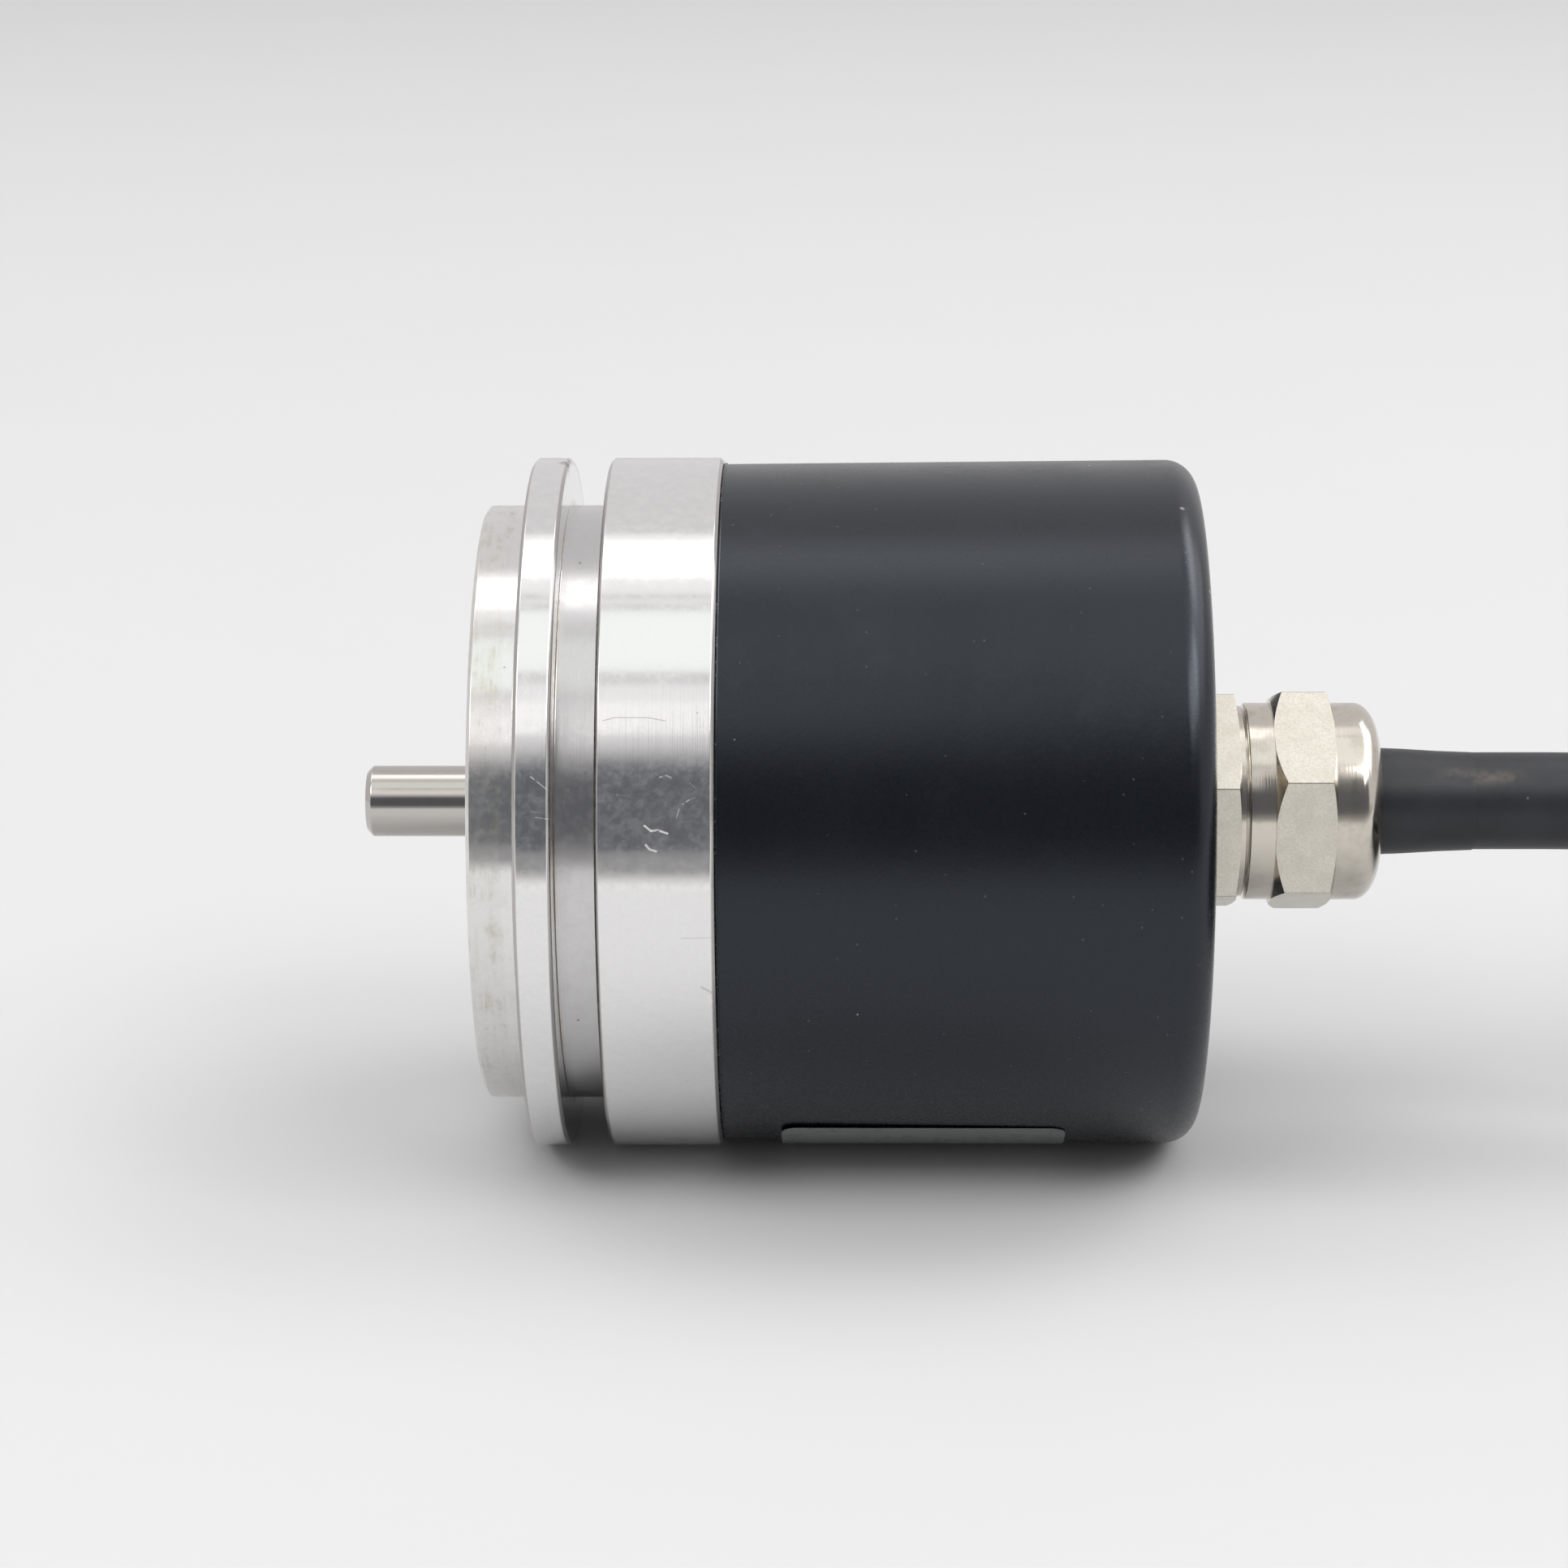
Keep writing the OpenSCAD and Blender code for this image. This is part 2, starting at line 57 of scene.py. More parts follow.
FLANGE_R = 29
PILOT_R = 25
SHAFT_R = 3
COVER_R = 28.75
COVER_EDGE_R = 2.5
COVER_WALL = 2
GLAND_AF = 17           # width across the flats of both hexagons
GLAND_ROUND_R = 8.3     # the dome nut's collar and dome
HEX_CORNER_R = 0.2
HEX_EDGE_BEVEL = 0.07
BODY_HEX_TURN = 9       # turns of the two hexagons about the axis, in degrees
NUT_HEX_TURN = 6
SCREW_CIRCLE_R = 21
SCREW_COUNT = 3
DISC_LINES = 512        # lines on the code disc
THREAD_PITCH = 0.7
THREAD_CORE_R = 1.65
THREAD_R = 2.0
THREAD_TURNS = 11
# The label starts at x and at an angle past the top, and reaches over a width and an arc in degrees
LABEL = {"x": 20.7, "width": 23.4, "arc": 60, "from_top": 144, "thick": 0.1, "off": 0.005, "corner": 1.3}
FLOOR_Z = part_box("flange")[0].z     # in metres

# The cable: its route to the coil, then the turns of the coil
CABLE_R = 4.1
CABLE_ROUTE = [
    (47, 0, 0), (60, 0, 0), (74, 0, 0), (88, 0, 0),
    (98, -0.8, -0.4), (107, -2.8, -1.8), (115, -6, -3.8), (122, -10.8, -6.6),
    (129, -16, -9.8), (137, -19.8, -12.4), (146.5, -22.4, -14), (157, -23, -14.2),
]
COIL_AT = (157, 22, -18.3)
COIL_R = 41
COIL_TURNS = 3.5
COIL_STEPS = 24
STRAND_OFF = 5.8        # from the bundle's middle to each of its four strands
TIE_ANGLES = (0, 180)
TIE_W = 7
TIE_STEPS = 72          # corners of a tie's outline
# Layers of a tie: where each starts and how far it reaches round the bundle, in turns, and how far its two
# faces are from the cable
TIE_LAYERS = ((0, 1.0, 0.04, 0.44), (0.3, 0.3, 0.46, 0.8))
LEADS_ROUTE = [
    (0, 41, 5.8), (-9, 40, 7), (-18, 35.5, 7.8), (-25, 27.5, 7.5),
    (-27, 19, 5), (-26.5, 13, 0), (-25, 8, -5), (-21.5, 3, -8.4),
]
CORE_R = 0.5
FERRULE_R = 0.42
FERRULE_POINTS = 7      # points of a core's path inside its ferrule, of which the sheath covers two
CORE_CIRCLE_R = 1.35    # circle of the eight cores where they leave the sheath
CORE_SPREAD = 0.5       # by how much that circle grows up to the ends
CORE_TWIST = 0.6        # turns of the cores round each other
CORE_COLOURS = {
    "white": (0.8, 0.8, 0.78), "brown": (0.13, 0.05, 0.02), "green": (0.02, 0.22, 0.06),
    "yellow": (0.75, 0.5, 0.03), "grey": (0.2, 0.2, 0.21), "pink": (0.75, 0.25, 0.3),
    "blue": (0.02, 0.07, 0.35), "red": (0.45, 0.02, 0.02),
}


# ---- Mesh helpers ----

MERGE_WITHIN = 1e-7     # metres
SLIVER = 1e-8


def metres(points):
    return [Vector(p) * MM for p in points]


def rounded(points, steps=3):
    """Outline of (x, r) points in mm, from (x, r, radius) corners, each replaced by an arc of its radius."""
    outline = []
    for i, (x, r, fillet) in enumerate(points):
        here = Vector((x, r))
        if not fillet:
            outline.append((x, r))
            continue
        back = (Vector(points[i - 1][:2]) - here).normalized()
        ahead = (Vector(points[(i + 1) % len(points)][:2]) - here).normalized()
        half = back.angle(ahead) / 2
        centre = here + (back + ahead).normalized() * fillet / math.sin(half)
        start = here + back * fillet / math.tan(half) - centre
        end = here + ahead * fillet / math.tan(half) - centre
        span = start.angle_signed(end)
        for k in range(steps + 1):
            turned = Matrix.Rotation(-span * k / steps, 2) @ start
            outline.append(tuple(centre + turned))
    return outline


def arc(x, r, radius, start, end, steps=12):
    """Points (x, r) of an arc round a centre, from one angle to another, in degrees from the x axis."""
    angles = [math.radians(start + (end - start) * k / steps) for k in range(steps + 1)]
    return [(x + radius * math.cos(a), r + radius * math.sin(a)) for a in angles]


def lathe_columns(outline, count):
    return [(360 * i / count, outline) for i in range(count)]


def spin(columns, closed=True, marked=()):
    """Mesh of columns of (x, r) points in mm, one column for each angle round the shaft axis.

    The rows of faces in marked take the second material."""
    bm = bmesh.new()
    grid = []
    for angle, points in columns:
        s = math.sin(math.radians(angle)) * MM
        c = math.cos(math.radians(angle)) * MM
        grid.append([bm.verts.new((x * MM, r * s, -r * c)) for x, r in points])
    rows = len(grid[0])
    for i, column in enumerate(grid):
        beside = grid[(i + 1) % len(grid)]
        for k in range(rows if closed else rows - 1):
            j = (k + 1) % rows
            face = bm.faces.new((column[k], column[j], beside[j], beside[k]))
            face.material_index = int(k in marked)
    bmesh.ops.remove_doubles(bm, verts=bm.verts, dist=MERGE_WITHIN)
    bmesh.ops.dissolve_degenerate(bm, edges=bm.edges, dist=SLIVER)
    bmesh.ops.recalc_face_normals(bm, faces=bm.faces)
    return bm


def round_point(path, i, radius, angle):
    """The point at a radius and an angle in radians round one point of a path."""
    ahead = (path[min(i + 1, len(path) - 1)] - path[max(i - 1, 0)]).normalized()
    side = ahead.cross(Vector((0, 0, 1))).normalized()
    over = side.cross(ahead)
    return path[i] + radius * (math.cos(angle) * side + math.sin(angle) * over)


def join_rings(bm, ring, following):
    """Adds a band of faces between two closed rings of vertices."""
    faces = []
    for k in range(len(ring)):
        j = (k + 1) % len(ring)
        faces.append(bm.faces.new((ring[k], ring[j], following[j], following[k])))
    return faces


def sweep(bm, path, radius, material, sides=10):
    """Adds a closed round tube along a path of points in metres."""
    angles = [2 * math.pi * k / sides for k in range(sides)]
    rings = [[bm.verts.new(round_point(path, i, radius, a)) for a in angles] for i in range(len(path))]
    faces = [bm.faces.new(rings[0]), bm.faces.new(rings[-1])]
    for ring, following in zip(rings, rings[1:]):
        faces += join_rings(bm, ring, following)
    for face in faces:
        face.material_index = material


def smooth_path(points, steps):
    """Catmull-Rom curve through the points, with that many steps between two of them."""
    path = []
    last = len(points) - 1
    for i in range(last):
        p0, p1, p2, p3 = points[max(i - 1, 0)], points[i], points[i + 1], points[min(i + 2, last)]
        for k in range(steps):
            t = k / steps
            path.append(0.5 * (2 * p1 + (p2 - p0) * t + (2 * p0 - 5 * p1 + 4 * p2 - p3) * t ** 2
                               + (3 * p1 - p0 - 3 * p2 + p3) * t ** 3))
    return path + [points[last]]


def hexagon_r(angle, across, turn, corner):
    """Radius of a hexagon with rounded corners, at an angle round the axis in degrees."""
    off = math.radians(abs((angle - turn + 30) % 60 - 30))
    centre = (across - 2 * corner) / math.sqrt(3)
    edge_of_arc = math.atan2(corner / 2, centre + corner * math.cos(math.pi / 6))
    if off < edge_of_arc:
        return centre * math.cos(off) + math.sqrt(corner ** 2 - (centre * math.sin(off)) ** 2)
    return across / 2 / math.cos(math.pi / 6 - off)


def hexagon_angles(turn, count=288):
    """Angles round the axis in degrees, evenly spaced, with more of them at the corners."""
    near = (-0.8, -0.5, -0.25, 0, 0.25, 0.5, 0.8)
    spacing = 0.3
    corners = [(turn + 60 * k + d) % 360 for k in range(6) for d in near]
    even = [360 * k / count for k in range(count)]
    kept = [a for a in even if min(abs(a - c) for c in corners) > spacing]
    return sorted(kept + corners)


def hexagon_column(r, x0, x1, across, front, rear):
    """One column of a hexagon with chamfered corners, from its front face to its rear face."""
    flat_r = across / 2 + 0.1
    least = 0.004
    share = max(0, r - flat_r) / (across / math.sqrt(3) - across / 2)
    share = share if share > least else 0
    face_r = min(r, flat_r) if share else r
    return [(x0, face_r), (x0 + front * share, r), (x1 - rear * share, r), (x1, face_r)]


def new_object(name, data):
    obj = bpy.data.objects.new(name, data)
    bpy.context.scene.collection.objects.link(obj)
    return obj


def new_mesh(name, bm, materials=()):
    mesh = bpy.data.meshes.new(name)
    bm.to_mesh(mesh)
    bm.free()
    for material in materials:
        mesh.materials.append(material)
    return mesh


def piece(name, bm, body, materials, nodes):
    """Makes an object of the mesh, which rides on a CAD body and stands for CAD nodes."""
    mesh = new_mesh(name, bm, materials)
    mesh.polygons.foreach_set("use_smooth", [True] * len(mesh.polygons))
    mesh.set_sharp_from_angle(angle=math.radians(30))
    obj = new_object(name, mesh)
    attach(obj, body)
    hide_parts(*nodes)
    return obj


def weigh_normals(obj):
    """Keeps large faces flat in shading beside small rounded edges."""
    weighted = obj.modifiers.new("flat_faces", "WEIGHTED_NORMAL")
    weighted.keep_sharp = True
    weighted.weight = 90


def bevel(obj, width):
    """Rounds every edge that is sharper than 25 degrees."""
    edges = obj.modifiers.new("edges", "BEVEL")
    edges.width = width * MM
    edges.segments = 2
    edges.limit_method = "ANGLE"
    edges.angle_limit = math.radians(25)


def cut(obj, cutters):
    """Cuts closed meshes out of the object, and applies the result."""
    for bm in cutters:
        tool = new_object("cutter", new_mesh("cutter", bm))
        boolean = obj.modifiers.new("cut", "BOOLEAN")
        boolean.operation = "DIFFERENCE"
        boolean.solver = "EXACT"
        boolean.object = tool
        evaluated = obj.evaluated_get(bpy.context.evaluated_depsgraph_get())
        result = bpy.data.meshes.new_from_object(evaluated)
        obj.modifiers.clear()
        obj.data = result
        bpy.data.objects.remove(tool)


def moved(bm, y, z):
    bmesh.ops.translate(bm, verts=bm.verts, vec=Vector((0, y, z)) * MM)
    return bm


# ---- Shader helpers ----

def rgba(colour):
    return (*colour, 1)


class Look:
    """A material with a Principled shader, and the nodes that drive it.

    The shader's own values, such as metallic=1, come with the name. Elsewhere a value is a number or the
    output socket of a node. Places are in metres in the row frame unless a docstring says mm."""

    def __init__(self, name, **sockets):
        self.material = bpy.data.materials.new(name)
        self.material.use_nodes = True
        self.tree = self.material.node_tree
        self.shader = self.tree.nodes["Principled BSDF"]
        for key, value in sockets.items():
            self.shader.inputs[key.replace("_", " ").title().replace("Ior", "IOR")].default_value = value
        self.where = self.add("TexCoord").outputs["Object"]
        self.x, self.y, self.z = self.add("SeparateXYZ", {0: self.where}).outputs

    def add(self, kind, inputs=None, **settings):
        """A shader node of that kind."""
        made = self.tree.nodes.new("ShaderNode" + kind)
        for key, value in settings.items():
            setattr(made, key, value)
        for key, value in (inputs or {}).items():
            self.feed(made.inputs[key], value)
        return made

    def feed(self, socket, value):
        if isinstance(value, bpy.types.NodeSocket):
            self.tree.links.new(value, socket)
        else:
            socket.default_value = value

    def set(self, name, value):
        self.tree.links.new(value, self.shader.inputs[name])

    def maths(self, operation, a, b=0.0):
        return self.add("Math", {0: a, 1: b}, operation=operation).outputs[0]

    def times(self, a, b):
        return self.maths("MULTIPLY", a, b)

    def plus(self, a, b):
        return self.maths("ADD", a, b)

    def scaled(self, value, factor, offset):
        return self.plus(self.times(value, factor), offset)

    def most(self, values):
        """The largest of several values."""
        total = values[0]
        for value in values[1:]:
            total = self.maths("MAXIMUM", total, value)
        return total

    def ramp(self, value, low, high):
        """0 at low and 1 at high, smooth between them."""
        inputs = {"Value": value, "From Min": low, "From Max": high, "To Min": 0.0, "To Max": 1.0}
        return self.add("MapRange", inputs, interpolation_type="SMOOTHSTEP").outputs["Result"]

    def between(self, value, low, high, soft):
        """1 where the value is between low and high, and 0 outside, with soft ends."""
        above = self.ramp(value, low - soft, low + soft)
        return self.times(above, self.ramp(value, high + soft, high - soft))

    def bands(self, value, ranges, soft):
        """1 inside any of the (low, high) ranges of a length, with soft ends, all in mm."""
        return self.most([self.between(value, low * MM, high * MM, soft * MM) for low, high in ranges])

    def add_up(self, value, shares):
        """The value plus every mask times its amount."""
        for mask, amount in shares:
            value = self.plus(value, self.times(mask, amount))
        return value

    def mix(self, share, a, b):
        """Colour a turned by a share towards colour b."""
        made = self.add("Mix", data_type="RGBA")
        for key, kind, value in (("Factor", "VALUE", share), ("A", "RGBA", a), ("B", "RGBA", b)):
            socket = next(s for s in made.inputs if s.name == key and s.type == kind)
            self.feed(socket, rgba(value) if isinstance(value, tuple) else value)
        return next(s for s in made.outputs if s.type == "RGBA")

    def tint(self, colour, mask, share, tone):
        """The colour, turned by that share towards the tone where the mask is 1."""
        return self.mix(self.times(mask, share), colour, tone)

    def noise(self, scale, detail=2.0, roughness=0.5, at=None):
        vector = self.where if at is None else at
        inputs = {"Vector": vector, "Scale": scale, "Detail": detail, "Roughness": roughness}
        return self.add("TexNoise", inputs).outputs["Fac"]

    def specks(self, scale, share, size):
        """Small scattered dots: 1 inside a dot. Only that share of the cells has one."""
        cells = self.add("TexVoronoi", {"Vector": self.where, "Scale": scale})
        drawn = self.add("SeparateColor", {0: cells.outputs["Color"]}).outputs[0]
        chosen = self.ramp(drawn, share, share * 0.9)
        return self.times(chosen, self.ramp(cells.outputs["Distance"], size, size * 0.5))

    def turned(self):
        """(radius, angle) of the point about the shaft axis. The angle is 0 towards -Y and grows upwards."""
        near = self.times(self.y, -1.0)
        radius = self.maths("SQRT", self.plus(self.times(near, near), self.times(self.z, self.z)))
        return radius, self.maths("ARCTAN2", self.z, near)

    def turning_lines(self, across, along):
        """Noise drawn out into rings round the shaft axis, on cylinders and on end faces alike."""
        radius, _ = self.turned()
        depth = self.times(self.plus(self.x, radius), across / along)
        drawn_out = self.add("CombineXYZ", {0: depth, 1: self.y, 2: self.z}).outputs[0]
        return self.noise(along, 3.0, 0.6, at=drawn_out)

    def on_skin(self, radius):
        """(x, height) in mm of the point on a cylinder that is unrolled from the side that faces -Y."""
        _, angle = self.turned()
        along = self.times(self.x, 1000.0)
        return self.add("CombineXYZ", {0: along, 1: self.times(angle, float(radius))}).outputs[0]

    def vector_maths(self, operation, output, inputs):
        return self.add("VectorMath", inputs, operation=operation).outputs[output]

    def stroke(self, skin, line, width):
        """1 along a line of (x, height) points in mm on an unrolled skin, fading out over the width."""
        masks = []
        for (x0, y0), (x1, y1) in zip(line, line[1:]):
            span = Vector((x1 - x0, y1 - y0, 0))
            offset = self.vector_maths("SUBTRACT", "Vector", {0: skin, 1: (x0, y0, 0)})
            along = self.vector_maths("DOT_PRODUCT", "Value", {0: offset, 1: span / span.length_squared})
            share = self.add("Clamp", {"Value": along}).outputs[0]
            foot = self.vector_maths("SCALE", "Vector", {0: span, "Scale": share})
            gap = self.vector_maths("DISTANCE", "Value", {0: offset, 1: foot})
            masks.append(self.ramp(gap, width, width * 0.3))
        return self.most(masks)

    def scratches(self, radius, rows):
        """The strongest of several scratches on a cylinder, as in the tables of scratches."""
        skin = self.on_skin(radius)
        masks = []
        for points, width, strength in rows:
            line = [(x, math.radians(degrees) * radius) for x, degrees in points]
            masks.append(self.times(self.stroke(skin, line, width), strength))
        return self.most(masks)

    def spot(self, centre, radius):
        """1 at a point in mm, fading out over the radius, with a ragged edge."""
        gap = self.vector_maths("DISTANCE", "Value", {0: self.where, 1: tuple(c * MM for c in centre)})
        ragged = self.times(self.noise(2500.0, 3.0, 0.6), radius * 1.2 * MM)
        return self.ramp(self.plus(gap, ragged), radius * 1.6 * MM, radius * 0.7 * MM)

    def bump(self, height, strength, distance):
        """Small relief, with its depth in mm."""
        made = self.add("Bump", {"Height": height, "Strength": strength, "Distance": distance * MM})
        self.set("Normal", made.outputs["Normal"])


# ---- Materials ----

def turned_metal(name, colour, roughness, stain=(0.6, 0.58, 0.5), stained=0.3, lines=0.02):
    """Metal with fine rings from the lathe, cloudy patches and a little staining."""
    look = Look(name, metallic=1.0)
    broad = look.turning_lines(900.0, 60.0)
    patches = look.ramp(look.noise(260.0, 5.0, 0.6), 0.5, 0.75)
    look.set("Base Color", look.tint(colour, patches, stained, stain))
    look.set("Roughness", look.scaled(broad, roughness * 0.8, roughness * 0.6))
    look.bump(look.turning_lines(9000.0, 60.0), 0.25, lines)
    return look.material


# Scratches on the flange: points of (x in mm, degrees above the horizon), width in mm, strength
LIGHT_SCRATCHES = [
    ([(1.5, 19), (2.8, 17)], 0.06, 0.6),
    ([(1.5, 13.6), (2.2, 13.4)], 0.05, 0.4),
    ([(1.9, 12.7), (2.9, 12.4)], 0.05, 0.6),
    ([(10.4, 11.4), (10.9, 10.6), (11.4, 10.7), (12.2, 10.2)], 0.12, 1.0),
    ([(10.5, 8.4), (10.8, 7.7), (11.3, 7.4)], 0.12, 0.9),
    ([(12.9, 12.6), (13.1, 14)], 0.06, 0.5),
    ([(13.4, 14.7), (13.8, 15.3), (14.3, 15.7)], 0.07, 0.6),
    ([(11.6, 18.9), (12.1, 19.2), (12.5, 18.8)], 0.1, 0.5),
    ([(8.2, 16.2), (8.9, 16.0)], 0.05, 0.4),
    ([(13.9, 18.1), (14.4, 17.2)], 0.05, 0.4),
    ([(15.2, -16.8), (15.5, -18)], 0.12, 0.9),
]
DARK_SCRATCHES = [
    ([(7.1, 27.7), (8, 28.2), (10.6, 28.2), (12, 27.7)], 0.05, 0.6),
    ([(13.2, -6.6), (15.6, -6.5)], 0.08, 0.25),
    ([(14.7, -15.2), (15.5, -16.2)], 0.14, 0.35),
]
# Painted shade: where the flange's rounded rims are darkened in the colour, in mm along the axis
PAINTED_RIM_SHADE = [(-0.1, 0.25), (2.75, 3.1), (6.3, 6.7), (15.55, 15.9)]


def turned_aluminium():
    """Bright turned aluminium: fine rings, cloudy haze, stains in the recesses, painted shade on rims, and
    scratches.
    """
    look = Look("turned_aluminium")
    radius, _ = look.turned()
    fine = look.turning_lines(7000.0, 40.0)
    broad = look.turning_lines(1500.0, 30.0)
    streaks = look.ramp(look.turning_lines(2200.0, 220.0), 0.36, 0.68)
    haze = look.ramp(look.noise(1100.0, 7.0, 0.78), 0.38, 0.7)
    colour = look.tint((0.83, 0.825, 0.82), haze, 0.25, (0.76, 0.76, 0.745))
    recess = look.ramp(radius, 25.6 * MM, 25.3 * MM)
    front_zone = look.ramp(look.x, -1.0 * MM, -1.5 * MM)
    behind_face = look.maths("SUBTRACT", 1.0, look.ramp(look.x, -3.9 * MM, -3.98 * MM))
    worn = look.times(recess, look.scaled(front_zone, 0.6, 0.4))
    worn = look.times(worn, look.scaled(behind_face, 0.6, 0.4))
    blotch = look.times(look.ramp(look.noise(600.0, 5.0, 0.7), 0.4, 0.68), streaks)
    dirt = look.times(worn, look.scaled(blotch, 0.75, 0.2))
    colour = look.mix(dirt, colour, (0.6, 0.58, 0.5))
    groove = look.times(recess, look.ramp(look.x, 2.9 * MM, 3.1 * MM))
    colour = look.tint(colour, groove, 0.6, (0.53, 0.52, 0.53))
    groove_edge = look.times(recess, look.bands(look.x, [(2.95, 3.15)], 0.1))
    groove_edge = look.times(groove_edge, look.ramp(look.noise(160.0, 3.0), 0.35, 0.65))
    colour = look.tint(colour, groove_edge, 0.55, (0.5, 0.4, 0.3))
    # Painted shade: the rounded rims are darkened in the colour, which also dims the highlights on their
    # edges.
    rims = look.times(look.bands(look.x, PAINTED_RIM_SHADE, 0.06), look.ramp(radius, 28.3 * MM, 28.5 * MM))
    colour = look.tint(colour, rims, 0.7, (0.32, 0.3, 0.28))
    colour = look.tint(colour, look.specks(900.0, 0.05, 0.14), 0.7, (0.12, 0.1, 0.09))
    colour = look.mix(look.spot((3.0, 0.5, 28.8), 1.2), colour, (0.06, 0.05, 0.045))
    colour = look.mix(look.scratches(FLANGE_R, DARK_SCRATCHES), colour, (0.25, 0.24, 0.23))
    broken = look.ramp(look.noise(2500.0, 2.0, 0.6), 0.3, 0.5)
    light = look.times(look.scratches(FLANGE_R, LIGHT_SCRATCHES), broken)
    look.set("Base Color", look.mix(light, colour, (0.95, 0.94, 0.9)))
    dull = look.plus(look.times(haze, 0.09), look.times(worn, 0.04))
    look.set("Metallic", look.maths("SUBTRACT", 1.0, dull))
    worse = ((haze, 0.06), (groove, 0.06), (dirt, 0.14), (light, 0.45))
    look.set("Roughness", look.add_up(look.scaled(broad, 0.06, 0.07), worse))
    look.bump(look.maths("SUBTRACT", fine, look.times(light, 0.6)), 0.3, 0.022)
    return look.material


# Bare chips in the paint of the cover's rear edge: where, in mm, and their radius
PAINT_CHIPS = [((53.2, -9.5, 27.07), 0.3), ((55.0, -16.4, 21.7), 0.24)]


def dark_paint():
    """Blue-black satin paint: fine texture, dust, rubbed patches, chips at both edges, those in front partly
    painted highlight.
    """
    look = Look("dark_paint", ior=1.54, specular_tint=(0.78, 0.87, 1.0, 1))
    radius, _ = look.turned()
    grain = look.noise(2600.0, 2.0, 0.6)
    bands = look.turning_lines(160.0, 40.0)
    rubbed = look.ramp(look.noise(130.0, 6.0, 0.75), 0.5, 0.72)
    front_edge = look.ramp(look.x, 15.98 * MM, 15.9 * MM)
    # Bare metal round the front edge, broken by noise: partly chips, partly a painted highlight of that edge.
    chips_and_edge_highlight = look.times(front_edge, look.ramp(look.noise(700.0, 5.0, 0.75), 0.55, 0.7))
    chips_and_edge_highlight = look.times(chips_and_edge_highlight, look.ramp(radius, 28.3 * MM, 28.4 * MM))
    bare = look.most([chips_and_edge_highlight] + [look.spot(centre, size) for centre, size in PAINT_CHIPS])
    colour = look.mix(bands, (0.0022, 0.003, 0.0042), (0.0034, 0.0044, 0.006))
    colour = look.tint(colour, rubbed, 0.3, (0.006, 0.0075, 0.0105))
    colour = look.tint(colour, look.specks(1300.0, 0.09, 0.16), 0.22, (0.17, 0.17, 0.18))
    colour = look.tint(colour, look.specks(520.0, 0.05, 0.075), 0.65, (0.4, 0.42, 0.42))
    look.set("Base Color", look.mix(bare, colour, (0.4, 0.36, 0.33)))
    look.set("Metallic", look.times(bare, 0.7))
    look.set("Roughness", look.add_up(look.scaled(grain, 0.1, 0.19), ((rubbed, 0.05), (bands, 0.06))))
    look.bump(grain, 0.25, 0.02)
    return look.material


def label_foil():
    """Silver-grey label foil, drawn without its print: brushed along its length, scuffed and slightly dirty.
    """
    look = Look("label_foil", metallic=0.5)
    brushed = look.add("CombineXYZ", {0: look.times(look.x, 0.06), 1: look.y, 2: look.z}).outputs[0]
    streaks = look.noise(6000.0, 2.0, 0.6, at=brushed)
    scuffs = look.ramp(look.noise(500.0, 5.0, 0.7), 0.52, 0.7)
    colour = look.mix(streaks, (0.2, 0.215, 0.21), (0.31, 0.33, 0.32))
    colour = look.tint(colour, scuffs, 0.5, (0.12, 0.13, 0.125))
    look.set("Base Color", colour)
    look.set("Roughness", look.scaled(scuffs, 0.2, 0.3))
    look.bump(streaks, 0.15, 0.01)
    return look.material


def cable_jacket():
    """Matt black cable sheath with a fine grain, dust and a brownish scuff beside the gland."""
    look = Look("cable_jacket", specular_ior_level=0.5)
    _, angle = look.turned()
    grain = look.noise(2400.0, 2.0, 0.6)
    tone = look.ramp(look.noise(220.0, 4.0, 0.6), 0.35, 0.7)
    colour = look.mix(tone, (0.009, 0.0105, 0.0145), (0.0135, 0.0155, 0.0205))
    beside = look.bands(look.x, [(76, 82)], 1.5)
    facing = look.between(angle, 0.66, 0.92, 0.16)
    patchy = look.ramp(look.noise(380.0, 4.0, 0.6), 0.38, 0.62)
    scuff = look.times(look.times(beside, facing), patchy)
    colour = look.tint(colour, scuff, 0.55, (0.15, 0.125, 0.105))
    dust = look.specks(700.0, 0.06, 0.12)
    look.set("Base Color", look.tint(colour, dust, 0.4, (0.25, 0.24, 0.22)))
    look.set("Roughness", look.scaled(grain, 0.16, 0.38))
    look.bump(grain, 0.25, 0.02)
    return look.material


def moulded(name, colour, roughness=0.5, grain_scale=3000.0):
    """Plastic or rubber with a fine grain."""
    look = Look(name)
    grain = look.noise(grain_scale, 2.0, 0.6)
    tone = look.ramp(look.noise(300.0, 3.0), 0.3, 0.7)
    darker = tuple(c * 0.8 for c in colour)
    look.set("Base Color", look.mix(tone, darker, colour))
    look.set("Roughness", look.scaled(grain, 0.2, roughness - 0.1))
    look.bump(grain, 0.2, 0.02)
    return look.material


def clear(name, colour, roughness, ior):
    """Clear glass or resin, slightly uneven and dusty."""
    look = Look(name, transmission_weight=1.0, ior=ior)
    tone = look.ramp(look.noise(200.0, 3.0), 0.3, 0.7)
    paler = tuple(min(1, c * 1.05) for c in colour)
    look.set("Base Color", look.mix(tone, colour, paler))
    haze = look.noise(1200.0, 4.0, 0.7)
    look.set("Roughness", look.scaled(haze, 0.06, roughness))
    return look.material


